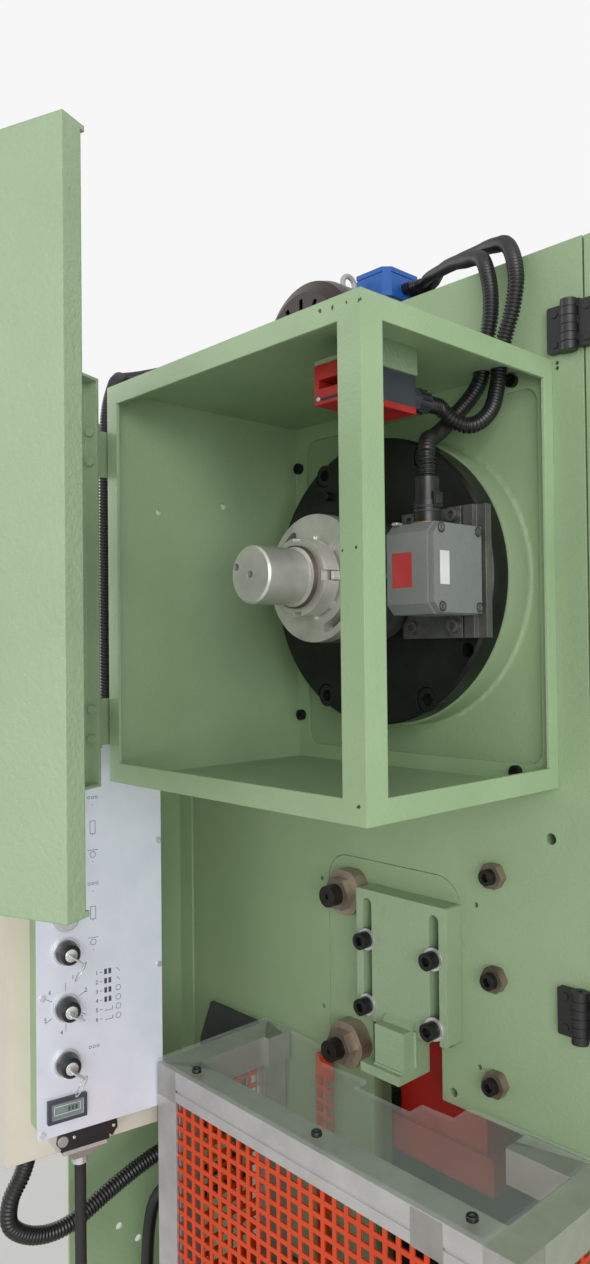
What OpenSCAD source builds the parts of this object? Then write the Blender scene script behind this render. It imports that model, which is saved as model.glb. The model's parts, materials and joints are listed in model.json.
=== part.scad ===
// Eccentric stamping press with guard box, tool guard, control panel and belt drive.
// Local frame of the pieces: X right, Y into the machine from its face, Z up from the guard box floor.

/* [Frame] */
// Width of the welded frame
frame_w = 980; // [960:10:1060]
// Depth of the frame, face to back
frame_d = 560; // [540:10:640]
// Height of the frame above the floor
frame_h = 1940; // [1920:10:2020]
// Height of the crankshaft axis above the floor
crank_h = 1625; // [1610:5:1640]
// Height of the bolster's top above the floor
bolster_h = 800; // [760:10:820]
// Thickness of the front plate
face_t = 30; // [25:1:34]
// Thickness of side plates and top plate
wall_t = 25; // [15:1:30]
// Thickness of the rear bulkhead
rear_t = 40; // [30:1:50]
// Thickness of the base plate
base_t = 35; // [25:1:50]
// Width of a foot beyond the frame's side
foot_w = 70; // [60:2:90]
// Length of a foot
foot_l = 100; // [80:5:140]
// Radius of the floor bolt holes
foot_hole_r = 11; // [8:0.5:14]

/* [Crankshaft] */
// Radius of the shaft end
stub_r = 27.5; // [20:0.5:29]
// Reach of the shaft end in front of the face
stub_reach = 230; // [215:1:245]
// Radius of the thread under the locknut
thread_r = 30; // [29.5:0.5:31]
// Radius of the seat of the cam hub
seat_r = 32; // [31.5:0.5:36]
// Radius of the main journal
journal_r = 40; // [38:1:46]
// Throw of the eccentric, half of the stroke
throw = 25; // [15:1:30]
// Radius of the eccentric
eccentric_r = 68; // [66:1:72]
// Length of the eccentric
eccentric_l = 56; // [40:1:60]
// Radius of the rear journal
rear_journal_r = 35; // [33:1:38]
// Radius of the flywheel's seat
drive_seat_r = 32; // [28:1:34]

/* [Bearings and cover] */
// Radius of the green bearing boss
boss_r = 153; // [145:1:160]
// Depth of the bearing boss
boss_l = 35; // [25:1:40]
// Radius of the black cover
cover_r = 150.5; // [142:0.5:152]
// Thickness of the black cover
cover_t = 26; // [20:1:28]
// Radius of the circle of cover screws
cover_pcr = 141; // [132:1:142]
// Outer radius of the front bush
bush_r = 55; // [50:1:60]
// Outer radius of the rear bush
rear_bush_r = 50; // [44:1:54]
// Running clearance on a radius
running = 0.05; // [0.02:0.01:0.08]

/* [Guard box] */
// Width of the guard box
box_w = 360; // [340:2:380]
// Depth of the guard box
box_d = 270.5; // [260:0.5:278]
// Height of the guard box
box_h = 410; // [400:2:430]
// Thickness of the box sheet
box_t = 3.5; // [2:0.5:5]
// Height of the box rails
rail_h = 20; // [15:1:26]
// Side of the corner post
post_w = 25; // [20:1:32]
// Width of the front left flange
flange_w = 18; // [14:1:22]

/* [Guard door] */
// Gap of the door in front of the box
door_gap = 19.5; // [19:0.5:24]
// Gap of the door beside the box
door_side_gap = 20; // [19:0.5:24]
// Thickness of the door sheet
door_t = 3; // [2:0.5:4]
// Depth of the folded door edge
lip = 17.5; // [14:0.5:18]
// Depth of the folded edge at the free end of the door
end_lip = 14.5; // [12:0.5:16]
// Height of the door
door_h = 412; // [400:2:414]
// Opening of the door as it stands
door_open = 68.4; // [0:0.2:100]

/* [Stop bracket] */
// Half width of the slotted plate
stop_hw = 63; // [60:1:66]
// Thickness of the slotted plate
stop_t = 25; // [20:1:28]
// Distance of the slots from the middle
slot_x = 46.5; // [44:0.5:48]
// Width of a slot
slot_w = 12.5; // [12.5:0.5:15]

/* [Ram] */
// Half width of the ram
ram_hw = 60; // [55:1:62]
// Depth of the ram
ram_d = 160; // [140:2:180]
// Radius of the tool shank bore
shank_r = 16; // [12:0.5:20]
// Depth of the tool shank bore
shank_l = 70; // [50:1:90]
// Radius of the ball on the adjusting screw
ball_r = 24; // [20:1:26]
// Thickness of a gib
gib_t = 56; // [54:1:64]

/* [Tool guard] */
// Width of the tool guard
guard_w = 486; // [470:2:496]
// Reach of the tool guard in front of the face
guard_y = 171; // [160:1:174]
// Side of the guard's posts
profile_w = 35; // [30:1:40]
// Pitch of the square holes
hole_pitch = 15.65; // [13:0.05:18]
// Side of a square hole
hole_w = 10.5; // [7:0.5:12]
// Thickness of the perforated sheet
mesh_t = 2; // [1.5:0.5:3]
// Thickness of the clear top
clear_t = 5; // [3:0.5:6]

/* [Controls] */
// Width of the control plate
panel_w = 147; // [136:1:148]
// Height of the control plate
panel_h = 450; // [440:2:480]
// Turn of the control plate
panel_turn = 10.2; // [5:0.1:14]
// Depth of the sub-box
subbox_d = 35; // [25:1:45]
// Depth of the cabinet
cabinet_d = 130; // [110:2:136]
// Radius of the switch bezels
bezel_r = 14.75; // [12:0.25:15]
// Radius of the key rotors
rotor_r = 9; // [7:0.25:10]

/* [Drive] */
// Radius of the flywheel
flywheel_r = 300; // [260:5:305]
// Width of the flywheel's rim
flywheel_b = 90; // [70:2:100]
// Radius of the motor pulley
pulley_r = 60; // [50:1:70]
// Radius of the motor housing
motor_r = 90; // [80:1:96]
// Shaft height of the motor
motor_h = 100; // [100:1:112]
// Distance of the motor from the middle of the press
motor_x = 390; // [380:1:400]

/* [Hidden] */

// Clearances shared by pieces that do not move against each other, and by those that do
fit = 0.1;
seam = 0.5;
slide_gap = 0.3;

// Heights of the main references in the local frame
crank_z = 205;
box_z = crank_h - crank_z;
face_y = -frame_d / 2;
floor_z = -box_z;
top_z = frame_h - box_z;
bed_z = bolster_h - box_z;
bolster_t = 60;
bolster_hw = 250;
bolster_front = 175;
bolster_back = 230;
chute_y = 125;

module local() translate([0, face_y, box_z]) children();
module ycyl(r, y0, y1, x = 0, z = 0) translate([x, y0, z]) rotate([-90, 0, 0]) cylinder(r = r, h = y1 - y0);
module yhex(af, y0, y1, x = 0, z = 0)
  translate([x, y0, z]) rotate([-90, 0, 0]) cylinder(r = af / 2 / cos(30), h = y1 - y0, $fn = 6);
module xcyl(r, x0, x1, y = 0, z = 0) translate([x0, y, z]) rotate([0, 90, 0]) cylinder(r = r, h = x1 - x0);
module zcyl(r, z0, z1, x = 0, y = 0) translate([x, y, z0]) cylinder(r = r, h = z1 - z0);
module block(x0, x1, y0, y1, z0, z1) translate([x0, y0, z0]) cube([x1 - x0, y1 - y0, z1 - z0]);
module slab_xz(y0, y1) translate([0, y1, 0]) rotate([90, 0, 0]) linear_extrude(y1 - y0) children();
module slab_yz(x0, x1) translate([x0, 0, 0]) rotate([90, 0, 90]) linear_extrude(x1 - x0) children();
module slab_xy(z0, z1) translate([0, 0, z0]) linear_extrude(z1 - z0) children();
module lathe_y() rotate([-90, 0, 0]) rotate_extrude() children();

// Rectangle with round corners, from its low corner to its high corner
module round_rect(x0, z0, x1, z1, r) {
  translate([x0 + r, z0]) square([x1 - x0 - 2 * r, z1 - z0]);
  translate([x0, z0 + r]) square([x1 - x0, z1 - z0 - 2 * r]);
  for (x = [x0 + r, x1 - r], z = [z0 + r, z1 - r]) translate([x, z]) circle(r);
}

// Socket head screw along Y: its head stands in front of the plane y, its shank goes in behind it
module cap_screw(x, z, y, head_r, head_h, shank_r, shank_l) {
  difference() {
    ycyl(head_r, y - head_h, y, x, z);
    yhex(head_r, y - head_h - 1, y - head_h * 0.45, x, z);
  }
  ycyl(shank_r, y, y + shank_l, x, z);
}

// Smooth route through hand-set points, and the tube swept along it
function unit(v) = v / norm(v);
function spline(a, b, c, d, t) =
  0.5 * (2 * b + (c - a) * t + (2 * a - 5 * b + 4 * c - d) * t * t + (3 * b - a - 3 * c + d) * t * t * t);
function route(p, n) = [for (i = [0 : len(p) - 2], k = [0 : n - 1])
  spline(p[max(i - 1, 0)], p[i], p[i + 1], p[min(i + 2, len(p) - 1)], k / n), p[len(p) - 1]];
function tangents(p) = [for (i = [0 : len(p) - 1]) unit(p[min(i + 1, len(p) - 1)] - p[max(i - 1, 0)])];
function sideways(t) = unit(cross(t, abs(t[2]) < 0.9 ? [0, 0, 1] : [1, 0, 0]));
function carried(n, t) = unit(n - (n * t) * t);
function normals(t, i, n) = i == len(t) ? []
  : concat([carried(n, t[i])], normals(t, i + 1, carried(n, t[i])));
module tube(p, r, sides) {
  t = tangents(p);
  n = normals(t, 0, sideways(t[0]));
  last = len(p) - 1;
  polyhedron(
    points = [for (i = [0 : last], j = [0 : sides - 1])
      p[i] + r * (cos(360 * j / sides) * n[i] + sin(360 * j / sides) * cross(t[i], n[i]))],
    faces = concat(
      [[for (j = [0 : sides - 1]) j]],
      [[for (j = [sides - 1 : -1 : 0]) last * sides + j]],
      [for (i = [0 : last - 1], j = [0 : sides - 1])
        [i * sides + j, (i + 1) * sides + j, (i + 1) * sides + (j + 1) % sides,
          i * sides + (j + 1) % sides]]));
}

// Frame

window_x0 = -62;
window_x1 = 36;
window_wide_x1 = 200;
window_top = -266;
window_step = -345;
door_x0 = 213;
service_t = 9;
service_z0 = -322;
cover_x0 = -130;
cover_x1 = 62;
cover_z0 = -290;
cover_z1 = -108;
cover_plate_t = 8;
cover_low = window_step;
corner_r = 30;
housing_r = 100;
housing_l = 40;
bed_t = 60;
shelf_hw = 230;
shelf_front = 165;
bay_x0 = 240;
bay_x1 = 440;
bay_z0 = -290;
bay_z1 = 480;

// Ends of the fasteners that go into the face
push_x = 106.4;
push_zs = [-95.4, -198.9, -303.4];
push_r = 8;
adjust_x = -90;
adjust_zs = [-146, -320];
adjust_r = 12;
stop_zs = [-188, -260];
stop_screw_r = 6;
stop_screw_l = 22;
cover_angles = [60, 120, 240, 300];
cover_screw_r = 8;
cover_screw_l = 30;

boss_fillet = 4.5;
module boss_profile() difference() {
  translate([0, -boss_l]) square([boss_r + boss_fillet, boss_l]);
  translate([boss_r + boss_fillet, -boss_fillet]) circle(boss_fillet);
  translate([boss_r, -boss_l - 1]) square([boss_fillet + 1, boss_l + 1 - boss_fillet]);
}
module front_plate() color([0.55, 0.68, 0.5]) local() difference() {
  union() {
    block(-frame_w / 2, frame_w / 2, 0, face_t, floor_z + base_t, top_z);
    translate([0, 0, crank_z]) lathe_y() boss_profile();
    ycyl(housing_r, face_t, face_t + housing_l, 0, crank_z);
    block(-shelf_hw, shelf_hw, -shelf_front, 0, bed_z - bolster_t - bed_t, bed_z - bolster_t);
    for (x = [-shelf_hw, -wall_t / 2, shelf_hw - wall_t]) slab_yz(x, x + wall_t)
      polygon([[-shelf_front, bed_z - bolster_t - bed_t], [0, bed_z - bolster_t - bed_t],
        [0, bed_z - bolster_t - bed_t - shelf_front * 1.4]]);
  }
  ycyl(bush_r + running, -boss_l - 1, face_t + housing_l + 1, 0, crank_z);
  slab_xz(-1, face_t + 1) polygon([[window_x0, window_top], [window_x1, window_top],
    [window_x1, window_step], [window_wide_x1, window_step], [window_wide_x1, bed_z], [window_x0, bed_z]]);
  block(-bolster_hw - seam, bolster_hw + seam, -1, face_t + 1, bed_z - bolster_t, bed_z + 0.01);
  block(door_x0, frame_w / 2 + 1, -1, service_t + seam, service_z0 - 2, top_z + 1);
  slab_xz(0, face_t + 1) round_rect(bay_x0, bay_z0, bay_x1, bay_z1, 20);
  slab_xz(-1, cover_plate_t) cover_outline(seam);
  for (z = push_zs) ycyl(push_r + fit, -1, face_t + 1, push_x, z);
  for (z = adjust_zs) ycyl(adjust_r + fit, -1, face_t + 1, adjust_x, z);
  for (x = [-slot_x, slot_x], z = stop_zs) ycyl(stop_screw_r + fit, -1, stop_screw_l + 1, x, z);
  for (a = cover_angles) ycyl(cover_screw_r + fit, -boss_l - 1, cover_screw_l - boss_l + 1,
    cover_pcr * cos(a), crank_z + cover_pcr * sin(a));
  for (h = face_holes) ycyl(h[2], -1, 14, h[0], h[1]);
}
// Free holes in the face: X, Z, radius
face_holes = [[170.8, -49.8, 5.5], [50.7, -332.2, 4.5], [82.4, -130, 2.5], [84.2, -295, 2.5],
  [-142.4, -142, 2.5], [-142.2, -295, 2.5], [185, 406, 2], [185, 401, 2]];

foot_x = frame_w / 2 + foot_w / 2;
foot_y = frame_d / 2 - foot_l / 2;
module frame_body() color([0.5, 0.64, 0.46]) local() difference() {
  union() {
    block(-frame_w / 2, frame_w / 2, 0, frame_d, floor_z, floor_z + base_t);
    for (y = [0, frame_d - foot_l])
      block(-frame_w / 2 - foot_w, frame_w / 2 + foot_w, y, y + foot_l, floor_z, floor_z + base_t);
    for (s = [-1, 1]) translate([s * (frame_w / 2 - wall_t / 2), 0, 0])
      block(-wall_t / 2, wall_t / 2, face_t, frame_d, floor_z + base_t, top_z);
    block(-frame_w / 2, frame_w / 2, frame_d - rear_t, frame_d, floor_z + base_t, top_z);
    block(-frame_w / 2, frame_w / 2, face_t, frame_d, top_z - wall_t, top_z);
    block(-frame_w / 2, frame_w / 2, face_t, frame_d, bed_z - bolster_t - bed_t, bed_z - bolster_t);
  }
  zcyl(45, bed_z - bolster_t - bed_t - 1, bed_z - bolster_t + 1, 0, chute_y);
  for (s = [-1, 1], t = [-1, 1]) zcyl(foot_hole_r, floor_z - 1, floor_z + base_t + 1, s * foot_x,
    frame_d / 2 + t * foot_y);
  ycyl(rear_bush_r + running, frame_d - rear_t - 1, frame_d + 1, 0, crank_z);
}
module cover_outline(g) {
  round_rect(cover_x0 - g, cover_z0 - g, cover_x1 + g, cover_z1 + g, corner_r + g);
  translate([cover_x0 - g, cover_low - g])
    square([window_x0 + 1 - cover_x0 + g, cover_z0 + corner_r + 5 - cover_low + g]);
}
module ram_cover() color([0.55, 0.68, 0.5]) local() difference() {
  slab_xz(0, cover_plate_t) difference() {
    cover_outline(0);
    translate([window_x0, cover_low - 1]) square([window_x1 - window_x0, window_top - cover_low + 1]);
  }
  for (z = adjust_zs) ycyl(adjust_r + fit, -1, cover_plate_t + 1, adjust_x, z);
  for (x = [-slot_x, slot_x], z = stop_zs) ycyl(stop_screw_r + fit, -1, cover_plate_t + 1, x, z);
}
module bolster() color([0.62, 0.63, 0.63]) local() difference() {
  block(-bolster_hw, bolster_hw, -bolster_front, bolster_back, bed_z - bolster_t, bed_z);
  for (x = [-90, 90]) slab_xz(-bolster_front - 1, bolster_back + 1) translate([x, bed_z]) {
    translate([-9, -24]) square([18, 25]);
    translate([-16, -36]) square([32, 14]);
  }
  zcyl(40, bed_z - bolster_t - 1, bed_z + 1, 0, chute_y);
}

// Ram, its guides and its screws

ram_y0 = 45;
ram_y1 = ram_y0 + ram_d;
ram_z0 = -420;
ram_z1 = -10;
pocket_hx = ball_r + throw + 4;
pocket_hy = ball_r + 3;
pocket_d = 2 * ball_r + 40;
gib_z0 = -332;
gib_z1 = -20;
guide_wall = 28;
guide_x0 = -ram_hw - gib_t - guide_wall;
guide_x1 = ram_hw + gib_t + guide_wall;
ecc_y0 = 98;
ecc_y = ecc_y0 + eccentric_l / 2;
module guide_housing() color([0.6, 0.15, 0.12]) local() difference() {
  block(guide_x0, guide_x1, face_t, ram_y1 + slide_gap + guide_wall, gib_z0 - 10, gib_z1 + 10);
  block(-ram_hw - gib_t - slide_gap, ram_hw + gib_t + slide_gap, face_t - 1, ram_y1 + slide_gap,
    gib_z0 - 11, gib_z1 + 11);
}
module gibs() color([0.72, 0.55, 0.3]) local() for (s = [-1, 1]) {
  x = s * (ram_hw + slide_gap + gib_t / 2);
  block(x - gib_t / 2, x + gib_t / 2, face_t + 2, ram_y1, gib_z0, gib_z1);
}
module gib_screws() color([0.2, 0.2, 0.2]) local() for (z = push_zs) {
  difference() {
    ycyl(push_r, -18, face_t + 2, push_x, z);
    yhex(8, -19, -10, push_x, z);
  }
  difference() {
    intersection() {
      yhex(24, -10, 0, push_x, z);
      ycyl(13.2, -10, 0, push_x, z);
    }
    ycyl(push_r + fit, -11, 1, push_x, z);
  }
}
module adjusting_bolts() color([0.42, 0.36, 0.32]) local() for (z = adjust_zs) difference() {
  union() {
    intersection() {
      yhex(50, -18, 0, adjust_x, z);
      ycyl(26.6, -18, 0, adjust_x, z);
    }
    yhex(34, -30, -18, adjust_x, z);
    ycyl(adjust_r, -45, face_t - 2, adjust_x, z);
  }
  ycyl(3, -46, -41, adjust_x, z);
}
module ram() color([0.75, 0.16, 0.12]) local() difference() {
  union() {
    block(-ram_hw, ram_hw, ram_y0, ram_y1, ram_z0, ram_z1);
    block(-ram_hw - 12, ram_hw + 12, ram_y0 - 6, ram_y1 + 6, ram_z0 - 30, ram_z0 + 10);
  }
  block(-pocket_hx, pocket_hx, ecc_y - pocket_hy, ecc_y + pocket_hy, ram_z1 - pocket_d, ram_z1 + 1);
  zcyl(shank_r, ram_z0 - 31, ram_z0 - 30 + shank_l, 0, ecc_y);
}

// Crankshaft group

hub_r = 64;
hub_y0 = -134;
cover_y = -boss_l - cover_t;
flange_y = -148;
nut_y = -170;
washer_y = -150.5;
clutch_t = 18;
drive_y0 = frame_d + 35;
shaft_y1 = drive_y0 + flywheel_b + 30;
module crankshaft() color([0.78, 0.78, 0.77]) local() difference() {
  union() {
    translate([0, 0, crank_z]) lathe_y() polygon([[0, -stub_reach], [stub_r - 2, -stub_reach],
      [stub_r, -stub_reach + 2], [stub_r, nut_y - 12], [stub_r - 2, nut_y - 11], [stub_r - 2, nut_y - 7],
      [thread_r, nut_y - 5], [thread_r, flange_y], [seat_r, flange_y], [seat_r, cover_y - 1],
      [journal_r, cover_y - 1], [journal_r, frame_d - rear_t - 12], [rear_journal_r, frame_d - rear_t - 12],
      [rear_journal_r, frame_d + 4], [drive_seat_r, frame_d + 4], [drive_seat_r, shaft_y1 - 2],
      [drive_seat_r - 2, shaft_y1], [0, shaft_y1]]);
    ycyl(eccentric_r, ecc_y0, ecc_y0 + eccentric_l, 0, crank_z + throw);
  }
  ycyl(3.5, -stub_reach - 1, -stub_reach + 8, 0, crank_z);
  ycyl(3.6, -stub_reach - 1, -stub_reach + 16, -20, crank_z + 8);
}
module cam_hub() color([0.35, 0.36, 0.36]) local() difference() {
  ycyl(hub_r, hub_y0, cover_y - 1 - slide_gap, 0, crank_z);
  ycyl(seat_r + fit, hub_y0 - 1, cover_y + 1, 0, crank_z);
}
function arc(c, r, a0, a1, n) =
  [for (i = [0 : n]) c + r * [cos(a0 + (a1 - a0) * i / n), sin(a0 + (a1 - a0) * i / n)]];
function inner_part(p) = [for (i = [1 : len(p) - 2]) p[i]];
module kidney(r, w, a, span) {
  low = a - span / 2;
  high = a + span / 2;
  polygon(concat(
    arc([0, 0], r + w / 2, low, high, 14),
    inner_part(arc(r * [cos(high), sin(high)], w / 2, high, high + 180, 8)),
    arc([0, 0], r - w / 2, high, low, 14),
    inner_part(arc(r * [cos(low), sin(low)], w / 2, low + 180, low + 360, 8))));
}
module index_flange() color([0.8, 0.8, 0.78]) local() translate([0, 0, crank_z])
  slab_xz(flange_y, hub_y0) difference() {
    circle(hub_r - 0.5);
    circle(seat_r + fit);
    for (a = [140, 306]) kidney(52, 9, a, 34);
  }
module tab_washer() color([0.75, 0.74, 0.7]) local() translate([0, 0, crank_z])
  slab_xz(washer_y, flange_y) difference() {
    union() {
      circle(36);
      for (a = [0 : 45 : 315]) rotate(a) translate([30, -4]) square([11, 8]);
    }
    circle(thread_r + fit);
  }
module locknut() color([0.7, 0.69, 0.66]) local() translate([0, 0, crank_z])
  slab_xz(nut_y, washer_y) difference() {
    circle(38.5);
    circle(thread_r + fit);
    for (a = [0 : 90 : 270]) rotate(a) translate([34, -5]) square([6, 10]);
  }
module clutch_plate() color([0.4, 0.4, 0.42]) local() difference() {
  union() {
    ycyl(120, frame_d + 10, frame_d + 10 + clutch_t, 0, crank_z);
    ycyl(62, frame_d + 5, frame_d + 10, 0, crank_z);
  }
  ycyl(drive_seat_r + fit, frame_d + 4, frame_d + 11 + clutch_t, 0, crank_z);
}
module main_bearings() color([0.72, 0.52, 0.26]) local() {
  difference() {
    ycyl(bush_r, -boss_l + 2, face_t + housing_l, 0, crank_z);
    ycyl(journal_r + running, -boss_l, face_t + housing_l + 1, 0, crank_z);
  }
  difference() {
    ycyl(rear_bush_r, frame_d - rear_t - 8, frame_d, 0, crank_z);
    ycyl(rear_journal_r + running, frame_d - rear_t - 9, frame_d + 1, 0, crank_z);
  }
}
module bearing_cover() color([0.1, 0.11, 0.11]) local() translate([0, 0, crank_z]) difference() {
  lathe_y() polygon([[journal_r + 1.5, cover_y], [cover_r - 3, cover_y], [cover_r, cover_y + 3],
    [cover_r, -boss_l], [journal_r + 1.5, -boss_l]]);
  for (a = cover_angles) {
    ycyl(13, cover_y - 1, cover_y + 14, cover_pcr * cos(a), cover_pcr * sin(a));
    ycyl(cover_screw_r + fit, cover_y, -boss_l + 1, cover_pcr * cos(a), cover_pcr * sin(a));
  }
  ycyl(7, cover_y - 1, -boss_l + 1, cover_pcr * cos(-31), cover_pcr * sin(-31));
}
module cover_screws() {
  for (a = cover_angles) cap_screw(cover_pcr * cos(a), crank_z + cover_pcr * sin(a), cover_y + 14, 12, 13,
    cover_screw_r, cover_t + cover_screw_l - 14);
  translate([-62.8, cover_y - 7, crank_z + 97.8]) rotate([-90, 0, 0]) cylinder(r = 5, h = 7);
}

// Connecting rod

big_end_r = 95;
rod_bush_r = 74;
ball_z = ram_z1 - pocket_d + ball_r + 12;
rod_foot_z = ram_z1 + 62;
screw_r = 16;
module conrod() color([0.5, 0.5, 0.5]) local() difference() {
  union() {
    ycyl(big_end_r, ecc_y0 + 3, ecc_y0 + eccentric_l - 3, 0, crank_z + throw);
    slab_xz(ecc_y - 22, ecc_y + 22) polygon([[-60, crank_z + throw - 70], [-30, rod_foot_z + 20],
      [-30, rod_foot_z], [30, rod_foot_z], [30, rod_foot_z + 20], [60, crank_z + throw - 70]]);
  }
  ycyl(rod_bush_r + fit, ecc_y0, ecc_y0 + eccentric_l, 0, crank_z + throw);
  zcyl(screw_r + fit, rod_foot_z - 1, rod_foot_z + 60, 0, ecc_y);
}
module conrod_bush() color([0.72, 0.52, 0.26]) local() difference() {
  ycyl(rod_bush_r, ecc_y0 + 3, ecc_y0 + eccentric_l - 3, 0, crank_z + throw);
  ycyl(eccentric_r + running, ecc_y0, ecc_y0 + eccentric_l, 0, crank_z + throw);
}
module ball_screw() color([0.6, 0.6, 0.6]) local() translate([0, ecc_y, 0]) {
  translate([0, 0, ball_z]) sphere(ball_r);
  zcyl(screw_r, ball_z, rod_foot_z + 55);
  zcyl(26, rod_foot_z - 16, rod_foot_z);
}

// Drive

motor_z = top_z + motor_h;
drive_y1 = drive_y0 + flywheel_b;
belt_y0 = drive_y0 + 12;
belt_y1 = drive_y1 - 12;
belt_t = 5;
guard_back = drive_y1 + 45;
sheet_t = 2.5;
guard_r = flywheel_r + 20;
guard_small_r = pulley_r + 26;
center_d = norm([motor_x, motor_z - crank_z]);
center_a = atan2(motor_z - crank_z, -motor_x);

// Outline of an open belt run round the two wheels, grown by g
module belt_outline(big, small) {
  lean = asin((big - small) / center_d);
  hi = center_a - 90 + lean;
  lo = center_a + 90 - lean;
  translate([0, crank_z]) circle(big);
  translate([-motor_x, motor_z]) circle(small);
  polygon([[0, crank_z] + big * [cos(hi), sin(hi)], [-motor_x, motor_z] + small * [cos(hi), sin(hi)],
    [-motor_x, motor_z] + small * [cos(lo), sin(lo)], [0, crank_z] + big * [cos(lo), sin(lo)]]);
}
module flywheel() color([0.35, 0.4, 0.35]) local() translate([0, 0, crank_z]) difference() {
  lathe_y() polygon([[drive_seat_r + running, drive_y0 - 4], [70, drive_y0 - 4], [70, drive_y0 + 30],
    [flywheel_r - 45, drive_y0 + 30], [flywheel_r - 45, drive_y0], [flywheel_r, drive_y0],
    [flywheel_r, drive_y1], [flywheel_r - 45, drive_y1], [flywheel_r - 45, drive_y0 + 55],
    [70, drive_y0 + 55], [70, drive_y1 + 6], [drive_seat_r + running, drive_y1 + 6]]);
  for (a = [30 : 60 : 330]) ycyl(38, drive_y0 - 5, drive_y1, 165 * cos(a), 165 * sin(a));
}
module motor_pulley() color([0.45, 0.45, 0.45]) local() translate([-motor_x, 0, motor_z]) difference() {
  lathe_y() polygon([[14 + running, drive_y0 + 4], [24, drive_y0 + 4], [24, belt_y0 - 4],
    [pulley_r, belt_y0 - 4],
    [pulley_r, belt_y1 + 4], [14 + running, belt_y1 + 4]]);
}
module drive_belts() color([0.1, 0.1, 0.1]) local() slab_xz(belt_y0, belt_y1) difference() {
  belt_outline(flywheel_r + slide_gap + belt_t, pulley_r + slide_gap + belt_t);
  belt_outline(flywheel_r + slide_gap, pulley_r + slide_gap);
}
module drive_guard() color([0.5, 0.64, 0.46]) local() {
  slab_xz(frame_d, guard_back) difference() {
    belt_outline(guard_r, guard_small_r);
    belt_outline(guard_r - sheet_t, guard_small_r - sheet_t);
  }
  difference() {
    slab_xz(guard_back, guard_back + sheet_t) belt_outline(guard_r, guard_small_r);
    for (i = [-5 : 5]) slab_xz(guard_back - 1, guard_back + 4) translate([0, crank_z + i * 26])
      round_rect(-90, -5, 90, 5, 4.9);
  }
  difference() {
    slab_xz(frame_d, frame_d + sheet_t) intersection() {
      belt_outline(guard_r, guard_small_r);
      translate([-frame_w, top_z]) square([2 * frame_w, 400]);
    }
    ycyl(22, frame_d - 1, frame_d + 5, -motor_x, motor_z);
  }
}
motor_y0 = frame_d - 270;
motor_y1 = frame_d - 40;
cowl_y0 = motor_y0 - 78;
cowl_r = motor_r + 9.5;
module motor() color([0.22, 0.24, 0.26]) local() translate([-motor_x, 0, motor_z]) {
  ycyl(motor_r - 4, motor_y0, motor_y1);
  for (a = [0 : 12 : 348]) if (a < 66 || a > 114) rotate([0, -a, 0])
    block(motor_r - 6, motor_r + 8, motor_y0 + 22, motor_y1 - 26, -1.5, 1.5);
  for (y = [motor_y0, motor_y1 - 18]) ycyl(motor_r + 8, y, y + 18);
  ycyl(14, motor_y1, belt_y1 + 8);
  for (s = [-1, 1]) difference() {
    block(s * 70 - 22, s * 70 + 22, motor_y0 + 50, motor_y1 - 50, -motor_h, -motor_r / 2);
    for (y = [motor_y0 + 70, motor_y1 - 70]) zcyl(6, -motor_h - 1, -motor_r, s * 80, y);
  }
  block(-30, 52, motor_y0 + 62, motor_y1 - 82, motor_r - 12, 94);
  lifting_eye();
}
module lifting_eye() translate([0, motor_y0 + 32, 0]) {
  zcyl(13, motor_r - 6, motor_r + 14);
  translate([0, 0, motor_r + 28]) rotate([0, 90, 0]) rotate_extrude() translate([14, 0]) circle(4.5);
}
module fan_cowl() color([0.16, 0.12, 0.1]) local() translate([-motor_x, 0, motor_z]) difference() {
  lathe_y() polygon([[0, cowl_y0], [cowl_r - 24, cowl_y0], [cowl_r - 4, cowl_y0 + 14], [cowl_r, cowl_y0 + 30],
    [cowl_r, motor_y0], [cowl_r - 4, motor_y0], [cowl_r - 4, cowl_y0 + 31], [cowl_r - 8, cowl_y0 + 17],
    [cowl_r - 25, cowl_y0 + 3], [0, cowl_y0 + 3]]);
  for (a = [0 : 30 : 330]) rotate([0, a, 0]) block(26, 66, cowl_y0 - 1, cowl_y0 + 4, -4, 4);
}
tb_x0 = -398;
tb_x1 = -330;
tb_y0 = motor_y0 + 60;
tb_y1 = tb_y0 + 90;
exit_ys = [tb_y0 + 45, tb_y0 + 65];
tb_z0 = motor_z + 94;
tb_h = 48;
module terminal_box() color([0.1, 0.36, 0.7]) local() difference() {
  slab_xy(tb_z0, tb_z0 + tb_h) polygon([[tb_x0, tb_y0], [tb_x1 - 12, tb_y0], [tb_x1, tb_y0 + 12],
    [tb_x1, tb_y1 - 12], [tb_x1 - 12, tb_y1], [tb_x0, tb_y1]]);
  for (z = [tb_z0 + tb_h - 10]) difference() {
    block(tb_x0 - 1, tb_x1 + 1, tb_y0 - 1, tb_y1 + 1, z, z + 2);
    block(tb_x0 + 1.5, tb_x1 - 1.5, tb_y0 + 1.5, tb_y1 - 1.5, z - 1, z + 3);
  }
}

// Guard box and its door

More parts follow.
